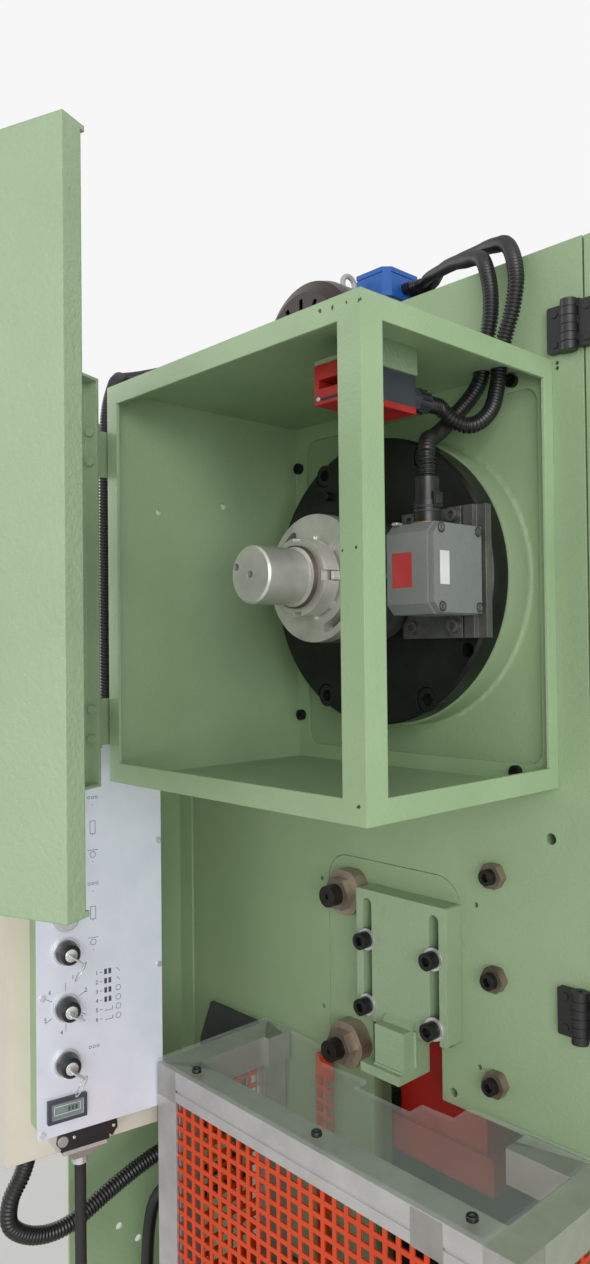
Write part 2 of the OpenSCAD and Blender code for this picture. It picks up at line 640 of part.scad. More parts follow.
back_x0 = -158;
back_x1 = box_w / 2 - 15;
hinge_zs = [61.5, 341.5];
hinge_half = 24;
box_bolts = [[-169.7, 357], [-169.7, 54], [138, 398], [136, 12]];
entry_a = [117.5, -26.5];
entry_b = [136, -22.5];
conduit_r = 8;
module guard_box() color([0.56, 0.69, 0.51]) local() difference() {
  union() {
    block(-box_w / 2, -box_w / 2 + box_t, -box_d, 0, 0, box_h);
    block(-box_w / 2, box_w / 2, -box_d, 0, 0, box_t);
    block(-box_w / 2, box_w / 2, -box_d, 0, box_h - box_t, box_h);
    slab_xz(-box_t, 0) difference() {
      translate([-box_w / 2, 0]) square([box_w, box_h]);
      round_rect(back_x0, rail_h, back_x1, box_h - rail_h - 2, 15);
    }
    for (z = [0, box_h - rail_h]) {
      block(-box_w / 2, box_w / 2, -box_d, -box_d + box_t, z, z + rail_h);
      block(box_w / 2 - box_t, box_w / 2, -box_d, 0, z, z + rail_h);
    }
    block(-box_w / 2, -box_w / 2 + flange_w, -box_d, -box_d + box_t, 0, box_h);
    block(box_w / 2 - post_w, box_w / 2, -box_d, -box_d + post_w, 0, box_h);
    block(box_w / 2 - box_t, box_w / 2, -15, 0, 0, box_h);
  }
  block(box_w / 2 - post_w + box_t, box_w / 2 - box_t, -box_d + box_t, -box_d + post_w - box_t,
    box_t, box_h - box_t);
  for (p = [entry_a, entry_b]) zcyl(conduit_r + 1, box_h - box_t - 1, box_h + 1, p[0], p[1]);
  for (b = box_bolts) ycyl(4 + fit, -box_t - 1, 1, b[0], b[1]);
  xcyl(3.5, -box_w / 2 - 1, -box_w / 2 + box_t + 1, -210, 285);
  xcyl(3.5, -box_w / 2 - 1, -box_w / 2 + box_t + 1, -120, 300);
}
module box_screws() for (b = box_bolts)
  cap_screw(b[0], b[1], -box_t, 6.5, 5, 4, box_t);

// The door hangs on the axis hinge_x, hinge_y; closed shape turned open by door_open
hinge_x = -box_w / 2 - 7.2;
hinge_y = -box_d - 29.5;
leaf_t = 2.8;
pin_r = 2.5;
knuckle_r = 5.5;
door_y0 = -box_d - door_gap;
door_x1 = box_w / 2 + door_side_gap;
door_xl = hinge_x + 3;
door_z0 = (box_h - door_h) / 2;
door_back = -1;
module opened() translate([hinge_x, hinge_y, 0]) rotate([0, 0, -door_open])
  translate([-hinge_x, -hinge_y, 0]) children();
module door_bend() difference() {
  translate([door_x1 - 12, door_y0]) square([12, 12]);
  translate([door_x1 - 12, door_y0 + 12]) circle(12);
}
module guard_door() color([0.6, 0.74, 0.56]) local() opened() difference() {
  union() {
    slab_xy(door_z0, door_z0 + door_h) difference() {
      union() {
        translate([door_xl, door_y0]) square([door_x1 - door_xl, door_t]);
        translate([door_x1 - door_t, door_y0]) square([door_t, door_back - door_y0]);
        translate([door_xl, door_y0]) square([door_t, lip]);
        translate([door_x1 - end_lip, door_back - door_t]) square([end_lip, door_t]);
        translate([door_x1 - 12, door_y0]) difference() {
          square(12);
          translate([0, 12]) circle(12 - door_t);
        }
      }
      door_bend();
    }
    for (z = [door_z0, door_z0 + door_h - door_t]) slab_xy(z, z + door_t) difference() {
      polygon([[door_xl, door_y0 + 1], [door_x1 - 1, door_y0 + 1], [door_x1 - 1, door_back],
        [door_x1 - lip, door_back], [door_x1 - lip, door_y0 + lip], [door_xl, door_y0 + lip]]);
      door_bend();
    }
  }
  for (z = hinge_zs, s = [-15, 15]) xcyl(2.5 + fit, door_xl - 1, door_xl + door_t + 1, door_y0 + 10, z + s);
}
// Hinge halves: the middle knuckle on the door, the outer two and the pin on the box
module door_hinges() color([0.5, 0.62, 0.47]) local() opened() for (z = hinge_zs) {
  difference() {
    union() {
      zcyl(knuckle_r, z - 8, z + 8, hinge_x, hinge_y);
      block(door_xl - leaf_t, door_xl, hinge_y, hinge_y + 10, z - 8, z + 8);
      block(door_xl - leaf_t, door_xl, hinge_y + 10, door_y0 + lip, z - hinge_half, z + hinge_half);
    }
    zcyl(pin_r + running, z - 9, z + 9, hinge_x, hinge_y);
    for (s = [-15, 15]) xcyl(2.5 + fit, door_xl - 5, door_xl + 1, door_y0 + 10, z + s);
  }
  for (s = [-15, 15]) {
    xcyl(2.5, door_xl - leaf_t, door_xl + door_t, door_y0 + 10, z + s);
    xcyl(4.5, door_xl + door_t, door_xl + door_t + 3, door_y0 + 10, z + s);
  }
}
pad_y0 = -box_d + 6;
module box_hinges() color([0.5, 0.62, 0.47]) local() for (z = hinge_zs) {
  block(hinge_x - 3.2, hinge_x - 0.4, hinge_y, pad_y0 + 28, z - hinge_half, z - 8 - seam);
  block(hinge_x - 3.2, hinge_x - 0.4, hinge_y, pad_y0 + 28, z + 8 + seam, z + hinge_half);
  block(hinge_x - 3.2, hinge_x - 0.4, hinge_y + 12, pad_y0 + 28, z - hinge_half, z + hinge_half);
  block(hinge_x - 0.5, -box_w / 2, pad_y0, pad_y0 + 28, z - hinge_half, z + hinge_half);
  zcyl(knuckle_r, z - hinge_half, z - 8 - seam, hinge_x, hinge_y);
  zcyl(knuckle_r, z + 8 + seam, z + hinge_half, hinge_x, hinge_y);
  zcyl(pin_r, z - 9, z + 9, hinge_x, hinge_y);
}

// Interlock

lock_x0 = 80;
lock_x1 = 120;
lock_y0 = -222;
lock_y1 = -132;
lock_z0 = 347;
lock_z1 = 382;
lock_z = (lock_z0 + lock_z1) / 2;
red_d = 26;
base_red_t = 6;
key_reach = 16;
module interlock_head() color([0.66, 0.17, 0.14]) local() difference() {
  union() {
    block(lock_x0, lock_x1, lock_y0, lock_y0 + red_d, lock_z0, lock_z1);
    block(lock_x0, lock_x1, lock_y0, lock_y1, lock_z0, lock_z0 + base_red_t);
  }
  block(lock_x0 + 5, lock_x1 - 4, lock_y0 - 1, lock_y0 + key_reach + 5, lock_z - 4, lock_z + 4);
}
module interlock_body() color([0.15, 0.15, 0.16]) local() {
  block(lock_x0 + 0.5, lock_x1 - 0.5, lock_y0 + red_d, lock_y1, lock_z0 + base_red_t, lock_z1);
  yhex(19, lock_y1, lock_y1 + 10, 110, lock_z0 + 17);
  ycyl(conduit_r + 1, lock_y1 + 10, lock_y1 + 27, 110, lock_z0 + 17);
}
module interlock_bracket() color([0.56, 0.69, 0.51]) local() {
  block(lock_x0, lock_x1 + 2, lock_y0, lock_y1, lock_z1, lock_z1 + 4);
  block(lock_x1 - 2, lock_x1 + 2, lock_y0, lock_y1, lock_z1, box_h - box_t);
}
module interlock_key() color([0.75, 0.75, 0.74]) local() opened() {
  block(92, 106, door_y0 + door_t, lock_y0 + key_reach, lock_z - 1.25, lock_z + 1.25);
  block(84, 114, door_y0 + door_t, door_y0 + door_t + 4, lock_z - 14, lock_z + 14);
}

// Cam switch

sw_x0 = 97;
sw_x1 = 144;
sw_y0 = -149;
sw_y1 = -76;
sw_z0 = 165;
sw_z1 = 247;
sw_bevel = 9;
lid_t = 6;
plunger_r = 5;
plunger_y = -112;
plunger_travel = 4;
module cam_switch() color([0.38, 0.39, 0.39]) local() difference() {
  union() {
    slab_yz(sw_x0, sw_x1) polygon([[sw_y0, sw_z0 + sw_bevel], [sw_y0 + sw_bevel, sw_z0], [sw_y1, sw_z0],
      [sw_y1, sw_z1], [sw_y0 + sw_bevel, sw_z1], [sw_y0, sw_z1 - sw_bevel]]);
    block(sw_x0 - 6, sw_x0, sw_y0 + 14, sw_y1 - 8, sw_z0 + 20, sw_z1 - 20);
  }
  xcyl(plunger_r + running, sw_x0 - 8, sw_x0 + 20, plunger_y, crank_z);
}
module cam_switch_lid() color([0.42, 0.43, 0.43]) local() {
  slab_yz(sw_x1, sw_x1 + lid_t) polygon([[sw_y0 + 2, sw_z0 + sw_bevel + 1], [sw_y0 + sw_bevel + 2, sw_z0 + 1],
    [sw_y1 - 1, sw_z0 + 1], [sw_y1 - 1, sw_z1 - 1], [sw_y0 + sw_bevel + 2, sw_z1 - 1],
    [sw_y0 + 2, sw_z1 - sw_bevel - 1]]);
  for (p = lid_screws) xcyl(4, sw_x1 + lid_t, sw_x1 + lid_t + 1.2, p[0], p[1]);
}
base_z0 = 144;
base_z1 = 269;
base_x0 = 49;
base_screws = [[63, 155], [63, 261], [118, 155.5], [118, 261]];
lid_screws = [[-137.5, 241], [-83, 241], [-137, 171.5], [-82, 171.5]];
module cam_switch_base() color([0.3, 0.31, 0.31]) local() {
  difference() {
    union() {
      block(base_x0, sw_x1 + lid_t, sw_y1 + 6, cover_y, base_z0, base_z1);
      block(sw_x1 - 15.4, sw_x1 - 4, sw_y1, sw_y1 + 6, base_z0, base_z1);
      block(sw_x0 + 14, sw_x1 - 17.6, sw_y1, sw_y1 + 6, base_z0, base_z1);
      ycyl(2, sw_y1 + 4, sw_y1 + 6, 79, 155);
    }
    ycyl(hub_r + 4, sw_y1 - 1, cover_y + 1, 0, crank_z);
  }
  for (p = base_screws) cap_screw(p[0], p[1], p[0] > sw_x0 + 6 ? sw_y1 : sw_y1 + 6, 6.5, 6, 3, 5);
}
module cam_plunger() color([0.75, 0.75, 0.74]) local() {
  xcyl(plunger_r, hub_r + slide_gap + plunger_r, sw_x0 + 14, plunger_y, crank_z);
  translate([hub_r + slide_gap + plunger_r, plunger_y, crank_z]) intersection() {
    sphere(plunger_r);
    translate([-2 * plunger_r, -plunger_r, -plunger_r]) cube(2 * plunger_r);
  }
}

// Service door in the face

hinge2_x = 203.5;
hinge2_y = -9;
knuckle2_r = 8;
hinge2_zs = [435.5, -208];
hinge2_half = 24;
leaf2_half = 22;
service_x0 = door_x0 + 2;
module service_door() color([0.55, 0.68, 0.5]) local()
  block(service_x0, frame_w / 2 - 2, 0, service_t, service_z0, top_z - 1);
module service_leaf(side) for (z = hinge2_zs) {
  x0 = side < 0 ? hinge2_x - 24.5 : hinge2_x + 8.5;
  slab_xz(-7, 0) round_rect(x0, z - leaf2_half, x0 + 16, z + leaf2_half, 2);
  for (s = [-14.5, 14.5]) ycyl(3.6, -8.2, -7, x0 + 8, z + s);
  for (i = [0 : 5]) if ((i % 2 == 0) == (side < 0)) {
    z0 = z - hinge2_half + i * hinge2_half / 3;
    difference() {
      union() {
        zcyl(knuckle2_r, z0 + 0.2, z0 + hinge2_half / 3 - 0.2, hinge2_x, hinge2_y);
        block(side < 0 ? hinge2_x - 10 : hinge2_x + 3, side < 0 ? hinge2_x - 3 : hinge2_x + 10, -7, -2,
          z0 + 0.2, z0 + hinge2_half / 3 - 0.2);
      }
      if (side > 0) zcyl(2.5 + running, z0 - 1, z0 + hinge2_half, hinge2_x, hinge2_y);
    }
  }
  if (side < 0) zcyl(2.5, z - hinge2_half + 1, z + hinge2_half - 1, hinge2_x, hinge2_y);
}
module service_hinges() color([0.08, 0.08, 0.08]) local() service_leaf(-1);
module service_door_hinges() color([0.08, 0.08, 0.08]) local() service_leaf(1);

// Stop bracket

stop_z0 = -276.3;
stop_z1 = -133.5;
slot_top = -143;
module stop_bracket() color([0.58, 0.71, 0.53]) local() {
  difference() {
    slab_xz(-stop_t, 0) round_rect(-stop_hw, stop_z0, stop_hw, stop_z1, 3);
    for (s = [-1, 1]) {
      translate([s * slot_x - slot_w / 2, -stop_t - 1, stop_z0 - 1])
        cube([slot_w, stop_t + 2, slot_top - slot_w / 2 - stop_z0 + 1]);
      ycyl(slot_w / 2, -stop_t - 1, 1, s * slot_x, slot_top - slot_w / 2);
    }
  }
  block(-20, 20, -44, -stop_t + 1, -310, -268);
  block(-20, 20, -stop_t, -1, -310, -270);
  slab_yz(-20, 20) polygon([[-stop_t - 7, -268], [-stop_t, -268], [-stop_t, -261]]);
  block(-34, 20, -52, -1, -320, -310);
}
stop_washer_t = 2.5;
module stop_screws() for (x = [-slot_x, slot_x], z = stop_zs)
  cap_screw(x, z, -stop_t - stop_washer_t, 9, 12, stop_screw_r, stop_t + stop_washer_t + stop_screw_l);
module stop_washers() color([0.8, 0.8, 0.78]) local()
  for (x = [-slot_x, slot_x], z = stop_zs) difference() {
  ycyl(12, -stop_t - stop_washer_t, -stop_t, x, z);
  ycyl(stop_screw_r + fit, -stop_t - stop_washer_t - 1, -stop_t + 1, x, z);
}
module socket_screws() color([0.1, 0.1, 0.1]) local() {
  cover_screws();
  box_screws();
  stop_screws();
}

// Tool guard

guard_hw = guard_w / 2;
guard_y1 = -3;
guard_top = -341;
mesh_y = -guard_y + 3;
mesh_depth = 12;
rail_low = -375;
mesh_z0 = bed_z + 4;
module tool_guard_frame() color([0.82, 0.83, 0.83]) local() difference() {
  union() {
    for (x = [-guard_hw, guard_hw - profile_w], y = [-guard_y, guard_y1 - profile_w])
      block(x, x + profile_w, y, y + profile_w, bed_z, guard_top);
    for (y = [-guard_y, guard_y1 - profile_w])
      block(-guard_hw, guard_hw, y, y + profile_w, rail_low, guard_top);
    for (x = [-guard_hw, guard_hw - profile_w])
      block(x, x + profile_w, -guard_y, guard_y1, rail_low, guard_top);
    block(-guard_hw, guard_hw, -guard_y, -guard_y + profile_w, bed_z, bed_z + 25);
  }
  block(-window_wide_x1, window_wide_x1 - 60, guard_y1 - profile_w - 1, 0, rail_low - 1, guard_top + 1);
  block(-guard_hw + profile_w, guard_hw - profile_w, -guard_y - 1, -guard_y + 1.2, -364, -361);
  slab_xz(mesh_y - fit, mesh_y + mesh_t + fit) translate([-guard_hw + profile_w - mesh_depth, mesh_z0])
    square([guard_w - 2 * profile_w + 2 * mesh_depth, rail_low + mesh_depth - mesh_z0]);
  for (s = [-1, 1]) translate([s * (guard_hw - profile_w / 2 - 1) - mesh_t / 2 - fit, 0, 0])
    block(0, mesh_t + 2 * fit, mesh_y + mesh_t + 1, guard_y1 - profile_w + mesh_depth, mesh_z0,
      rail_low + mesh_depth);
}
// Perforated sheet in its own plane: rows of square holes, first column and top row placed by hand
first_col = -204.2;
first_row = -380.4;
function square_hole(x, z) = [for (c = [[-1, -1], [1, -1], [1, 1], [-1, 1]]) [x, z] + c * hole_w / 2];
module perforated(x0, z0, x1, z1, xs, zs) {
  last = len(zs) - 1;
  for (j = [0 : last]) {
    low = j == last ? z0 : (zs[j] + zs[j + 1]) / 2;
    high = j == 0 ? z1 : (zs[j] + zs[j - 1]) / 2;
    polygon(
      points = concat([[x0, low], [x1, low], [x1, high], [x0, high]],
        [for (x = xs) each square_hole(x, zs[j])]),
      paths = concat([[0, 1, 2, 3]], [for (i = [0 : len(xs) - 1]) [for (k = [0 : 3]) 4 + 4 * i + k]]));
  }
}
mesh_edge = 4;
mesh_x1 = guard_hw - profile_w + mesh_depth - fit;
mesh_z1 = rail_low + mesh_depth - fit;
mesh_cols = [for (x = first_col; x < mesh_x1 - mesh_edge - hole_w / 2; x = x + hole_pitch) x];
mesh_rows = [for (z = first_row; z > mesh_z0 + mesh_edge + 25; z = z - hole_pitch) z];
side_y0 = mesh_y + mesh_t + 1.5;
side_y1 = guard_y1 - profile_w + mesh_depth - fit;
side_cols = [for (y = -guard_y + profile_w + 1; y < side_y1 - hole_w; y = y + hole_pitch) y];
screen_x0 = -147;
screen_x1 = -119;
screen_cols = [screen_x0 + 7, screen_x0 + 7 + hole_pitch];
module tool_guard_sheets() color([0.8, 0.22, 0.03]) local() {
  slab_xz(mesh_y, mesh_y + mesh_t)
    perforated(-mesh_x1, mesh_z0 + fit, mesh_x1, mesh_z1, mesh_cols, mesh_rows);
  for (s = [-1, 1]) translate([s * (guard_hw - profile_w / 2 - 1) - mesh_t / 2, 0, 0]) slab_yz(0, mesh_t)
    perforated(side_y0, mesh_z0 + fit, side_y1, mesh_z1, side_cols, mesh_rows);
  slab_xz(-mesh_t - 8, -8) perforated(screen_x0, mesh_z0, screen_x1, -350, screen_cols, mesh_rows);
  block(screen_x0, screen_x0 + mesh_t, -8, 0, mesh_z0, -350);
}
notch_x0 = -24;
notch_x1 = 39;
notch_y = -58;
module tool_guard_top() color([0.85, 0.9, 0.9, 0.4]) local() {
  slab_xy(guard_top, guard_top + clear_t) polygon([[-guard_hw, -guard_y], [209, -guard_y], [209, -5],
    [86, -7], [77, -13.5], [78, -36], [notch_x1, -38], [notch_x1, notch_y], [notch_x0 - 14, notch_y],
    [notch_x0 - 14, -39], [-102, -44], [-116.6, -36], [-131, -12.5], [-guard_hw, guard_y1]]);
  for (p = [[-183, -160], [5, -157], [188, -157]])
    zcyl(5, guard_top + clear_t, guard_top + clear_t + 4, p[0], p[1]);
}

// Controls: the plate stands turned; in its own frame X is its outward normal, Y runs along it

corner_x = -270.4;
corner_y = -307.7;
panel_z0 = -392;
panel_z1 = panel_z0 + panel_h;
plate_t = 3;
cab_z0 = panel_z0 - 39;
cab_z1 = panel_z1 + 2;
cab_front = -23;
cab_back = panel_w + 10;
cab_n = -plate_t - subbox_d;
switch_u = 32;
switch_zs = [-193.6, -254.8, -314.9];
lamp_zs = [-157, -124.7, -92.4, -62, -28.7];
bezel_h = 5;
collar_r = 12.4;
collar_h = 20;
module panel_frame() translate([corner_x, corner_y, 0]) rotate([0, 0, -panel_turn]) children();
wing_x = -431;
wing_t = 3;
wing_y0 = -183;
wing_w = 31;
module wing_plate() color([0.56, 0.69, 0.51]) local() {
  difference() {
    block(wing_x, wing_x + wing_t, wing_y0, 0, -760, 80);
    xcyl(5, wing_x - 1, wing_x + wing_t + 1, -108.8, -638.8);
    xcyl(5, wing_x - 1, wing_x + wing_t + 1, -78.9, -668);
  }
  block(wing_x, wing_x + wing_w, -wing_t, 0, -760, 80);
  difference() {
    for (z = [-390, -60]) block(wing_x + wing_t, wing_x + 40, -176, -136, z, z + 60);
    panel_frame() block(cab_n - cabinet_d, 200, -400, 400, -500, 200);
  }
  panel_frame() block(cab_n, -plate_t, 4, panel_w - 4, panel_z0 + 4, panel_z1 - 4);
}
mount_t = 6;
mount_z0 = -520;
module mounting_plate() color([0.25, 0.26, 0.27]) local() slab_xz(-mount_t, 0)
  polygon([[-356, -347], [-262, -347], [-262, mount_z0], [-385, mount_z0], [-380, -403]]);
module cabinet() color([0.86, 0.84, 0.79]) local() panel_frame() {
  difference() {
    block(cab_n - cabinet_d, cab_n, cab_front, cab_back, cab_z0, cab_z1);
    block(cab_n - 30, cab_n - 28, cab_front - 1, cab_front + 1, cab_z0 - 1, cab_z1 + 1);
  }
}
module panel_plate() color([0.87, 0.88, 0.92]) local() panel_frame() {
  slab_yz(-plate_t, 0) round_rect(0, panel_z0, panel_w, panel_z1, 2);
}
counter_u = 10.5;
counter_z = -364;
counter_w = 43;
counter_h = 24;
counter_d = 5;
plug_u = 24;
module counter_outline(inset) translate([counter_u + inset, counter_z - counter_h / 2 + inset])
  square([counter_w - 2 * inset, counter_h - 2 * inset]);
module panel_fittings() color([0.75, 0.75, 0.76]) local() panel_frame() {
  for (z = switch_zs) difference() {
    xcyl(bezel_r, 0, bezel_h, switch_u, z);
    xcyl(rotor_r + running, 2, bezel_h + 1, switch_u, z);
  }
  for (z = lamp_zs) {
    xcyl(bezel_r, 0, bezel_h, switch_u, z);
    xcyl(bezel_r - 4, bezel_h, bezel_h + 7, switch_u, z);
  }
  difference() {
    slab_yz(0, counter_d) counter_outline(0);
    slab_yz(counter_d - 2, counter_d + 1) counter_outline(4);
  }
  for (p = [[5, -386.5], [6, -240], [5, 46], [panel_w - 4, -229], [panel_w - 4, -86], [panel_w - 4, 46]])
    xcyl(3.2, 0, 2.2, p[0], p[1]);
  block(-36, -8, plug_u, plug_u + 66, panel_z0 - 22, panel_z0 + 4);
  block(-32, -10, plug_u + 8, plug_u + 58, panel_z0 - 30, panel_z0 - 22);
  zcyl(9, panel_z0 - 46, panel_z0 - 30, -21, plug_u + 30);
}
module rotor(z) local() panel_frame() {
  xcyl(rotor_r, 2 + slide_gap, bezel_h + 0.4, switch_u, z);
  xcyl(collar_r, bezel_h + 0.4, collar_h, switch_u, z);
  xcyl(7, collar_h, collar_h + 0.8, switch_u, z);
  block(collar_h, collar_h + 16, switch_u - 1.2, switch_u + 1.2, z - 4, z + 4);
  block(collar_h + 6, collar_h + 20, switch_u - 1.2, switch_u + 1.2, z - 9, z + 9);
}
module key_rotor_top() color([0.2, 0.2, 0.2]) rotor(switch_zs[0]);
module selector_rotor() color([0.2, 0.2, 0.2]) rotor(switch_zs[1]);
module key_rotor_bottom() color([0.2, 0.2, 0.2]) rotor(switch_zs[2]);

// Conduits held at both ends, and the free loop under the cabinet: centre line points, round numbers

gland_y = lock_y1 + 27;
conduit_a = [for (x = [12.3, 22, 32]) [tb_x1 + x, exit_ys[0], tb_z0 + 18],
  [-276, 380, 724], [-212, 308, 692], [-106, 200, 640], [-15, 110, 596], [50, 44, 560], [90, 8, 540],
  [114, -14, 520], [125, -21, 490], [127, -24, 462], [123, -25, 440], [118, -26, 420], [117, -27, 402],
  [113, -36, 384], [106, -50, 366], [100, -67, 348], [104, -88, 336], [115, -110, 328],
  [123, -122, sw_z1 + 67], [123, -122, sw_z1 + 55], [123, -122, sw_z1 + 43.6]];
conduit_b = [for (x = [12.3, 22, 32]) [tb_x1 + x, exit_ys[1], tb_z0 + 18],
  [-274, 402, 728], [-190, 316, 702], [-80, 210, 650], [12, 120, 604], [62, 70, 579], [100, 28, 556],
  [130, 0, 539], [147, -14, 518], [155, -21, 490], [151, -22, 462], [143, -22, 440], [137, -22, 420],
  [135, -23, 402], [135, -27, 386], [135, -36, 366], [132, -50, 352], [126, -62, 347], [118, -72, 351],
  [112, -79, 359], [110, -86, 364], [110, -95, 364], [110, gland_y + 0.3, 364]];
conduit_c = [[-272, -218, panel_z1 - 3.7], [-272, -218, 90], [-272, -218, 194], [-271, -218, 300],
  [-270, -216, 400], [-280, -200, 446], [-312, -172, 468], [-345, -150, 479], [-352, -110, 492],
  [-356, -60, 512], [-360, 0, 545], [-372, 70, 570], [-384, 125, 574], [-389, 165, 564],
  [-390, 185, 548], [-390, 185, 534], [-390, 185, top_z + 0.3]];
riser_a = [[-316, -3.4, -548], [-316, -12, -548], [-316, -24, -548], [-325, -72, -546], [-342, -102, -560],
  [-350, -113, -604], [-352, -116, -700], [-352, -112, -800], [-350, -90, -870], [-348, -44, -902],
  [-348, -24, -905], [-348, -12, -905], [-348, -3.4, -905]];
riser_b = [[-288, -3.4, -556], [-288, -12, -556], [-288, -24, -556], [-296, -62, -556], [-312, -90, -568],
  [-324, -100, -608], [-328, -103, -700], [-328, -100, -800], [-326, -80, -866], [-324, -44, -900],
  [-324, -24, -905], [-324, -12, -905], [-324, -3.4, -905]];
module conduits() color([0.08, 0.08, 0.08]) local() {
  for (c = [conduit_a, conduit_b, conduit_c]) tube(route(c, 2), conduit_r, 10);
  for (c = [riser_a, riser_b]) tube(route(c, 2), conduit_r, 8);
}
loop_points = [[-350, -280, cab_z0 - 0.3], [-350, -280, cab_z0 - 10], [-350, -280, cab_z0 - 20],
  [-352, -286, -470], [-354, -299, -495], [-354, -298, -524], [-352, -268, -546], [-350, -226, -550],
  [-350, -170, -532], [-348, -119, -516], [-340, -75, -504], [-328, -54, -497], [-325, -40, -496],
  [-325, -28, -496], [-325, -16.3, -496]];
loop_r = 10;
plug_points = [[-280, -251, panel_z0 - 46.3], [-280, -251, -470], [-280, -251, -541],
  [-279, -250, -620], [-280, -236, -700],
  [-284, -190, -765], [-290, -120, -800], [-296, -60, -812], [-298, -28, -813], [-298, -10.3, -813]];
plug_cable_r = 6.5;
module connector_cable() color([0.06, 0.06, 0.06]) local() tube(route(plug_points, 2), plug_cable_r, 8);
module gland(r, h, p) translate(p) rotate([-90, 0, 0]) cylinder(r = r * 1.5, h = h, $fn = 6);
module cable_glands() color([0.12, 0.12, 0.12]) local() {
  gland(loop_r, 10, [-325, -mount_t - 10, -496]);
  gland(plug_cable_r, 10, [-298, -10, -813]);
  for (c = [riser_a, riser_b]) for (p = [c[0], c[len(c) - 1]]) gland(conduit_r, 3, [p[0], -3, p[2]]);
  for (y = exit_ys) xcyl(conduit_r + 1.6, tb_x1, tb_x1 + 12, y, tb_z0 + 18);
  zcyl(12.4, sw_z1, sw_z1 + 22, 123, -122);
  zcyl(11, sw_z1 + 22, sw_z1 + 43.3, 123, -122);
}
module loop_conduit() color([0.07, 0.07, 0.07]) local() tube(route(loop_points, 2), loop_r, 10);

front_plate();
frame_body();
ram_cover();
bolster();
guide_housing();
gibs();
gib_screws();
adjusting_bolts();
main_bearings();
bearing_cover();
socket_screws();
crankshaft();
cam_hub();
index_flange();
tab_washer();
locknut();
clutch_plate();
conrod();
conrod_bush();
ball_screw();
ram();
flywheel();
motor();
fan_cowl();
terminal_box();
motor_pulley();
drive_belts();
drive_guard();
guard_box();
guard_door();
door_hinges();
box_hinges();
interlock_key();
interlock_body();
interlock_head();
interlock_bracket();
cam_switch();
cam_switch_lid();
cam_switch_base();
cam_plunger();
service_door();
service_hinges();
service_door_hinges();
stop_bracket();
stop_washers();
tool_guard_frame();
tool_guard_sheets();
tool_guard_top();
wing_plate();
mounting_plate();
cabinet();
panel_plate();
panel_fittings();
key_rotor_top();
selector_rotor();
key_rotor_bottom();
cable_glands();
conduits();
loop_conduit();
connector_cable();
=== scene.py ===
import json
import math

import bmesh
import bpy
from mathutils import Matrix, Vector

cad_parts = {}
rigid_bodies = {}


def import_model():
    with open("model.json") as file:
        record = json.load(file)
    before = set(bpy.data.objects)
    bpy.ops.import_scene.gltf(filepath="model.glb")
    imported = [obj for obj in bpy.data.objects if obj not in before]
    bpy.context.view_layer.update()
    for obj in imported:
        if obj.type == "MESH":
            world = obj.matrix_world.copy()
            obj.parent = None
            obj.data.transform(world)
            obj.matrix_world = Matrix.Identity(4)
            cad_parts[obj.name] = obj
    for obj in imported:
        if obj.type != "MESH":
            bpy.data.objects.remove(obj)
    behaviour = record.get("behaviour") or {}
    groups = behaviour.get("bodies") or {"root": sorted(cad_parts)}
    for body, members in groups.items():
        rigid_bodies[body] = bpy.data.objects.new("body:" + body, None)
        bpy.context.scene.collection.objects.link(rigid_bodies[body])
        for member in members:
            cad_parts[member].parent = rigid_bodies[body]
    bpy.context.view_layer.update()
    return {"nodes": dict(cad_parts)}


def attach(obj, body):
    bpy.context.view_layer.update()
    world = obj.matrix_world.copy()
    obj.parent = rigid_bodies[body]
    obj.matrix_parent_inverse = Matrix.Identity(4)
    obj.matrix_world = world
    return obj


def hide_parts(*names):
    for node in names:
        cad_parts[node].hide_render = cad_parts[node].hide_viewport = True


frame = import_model()
nodes = frame["nodes"]
print("frame loaded")

mm = 0.001
faceY = -280  # the machine's face, and the guard box floor, in the part's own frame
boxZ = 1420
panelCorner = (-270.4, -307.7)
panelTurn = math.radians(10.2)
crankZ = 205


def at(x, y, z):
    # from the face and the guard box floor, in millimetres, to the frame's metres
    return Vector((x * mm, (y + faceY) * mm, (z + boxZ) * mm))


def onPanel(n, u, z):
    # n out of the control plate, u along it
    c, s = math.cos(panelTurn), math.sin(panelTurn)
    return at(panelCorner[0] + c * n + s * u, panelCorner[1] - s * n + c * u, z)


# Camera, at the photograph's place
cameraUser = {"place": (0.6473, -1.0597, 1.5565), "ahead": (-0.7299, 0.6834, 0.0171),
              "right": (0.6833, 0.7301, -0.0109), "lens": 26.05}


def makeCamera(user):
    data = bpy.data.cameras.new("camera")
    data.sensor_fit = "VERTICAL"
    data.sensor_height = 36
    data.lens = user["lens"]
    data.clip_start = 0.02
    camera = bpy.data.objects.new("camera", data)
    bpy.context.scene.collection.objects.link(camera)
    ahead = Vector(user["ahead"]).normalized()
    right = Vector(user["right"])
    right = (right - ahead * right.dot(ahead)).normalized()
    up = right.cross(ahead)
    turn = Matrix((right, up, -ahead)).transposed().to_4x4()
    camera.matrix_world = Matrix.Translation(user["place"]) @ turn
    bpy.context.scene.camera = camera


makeCamera(cameraUser)
print("camera placed")

# Materials


def srgb(r, g, b, a=1.0):
    out = []
    for value in (r, g, b):
        value /= 255
        out.append(value / 12.92 if value <= 0.04045 else ((value + 0.055) / 1.055) ** 2.4)
    return (*out, a)


def addNode(tree, kind, inputs, settings):
    # a new node with its settings, each input wired to a socket or given a value
    node = tree.nodes.new(kind)
    for key, value in settings.items():
        setattr(node, key, value)
    for key, value in (inputs or {}).items():
        if isinstance(value, bpy.types.NodeSocket):
            tree.links.new(value, node.inputs[key])
        else:
            node.inputs[key].default_value = value
    return node


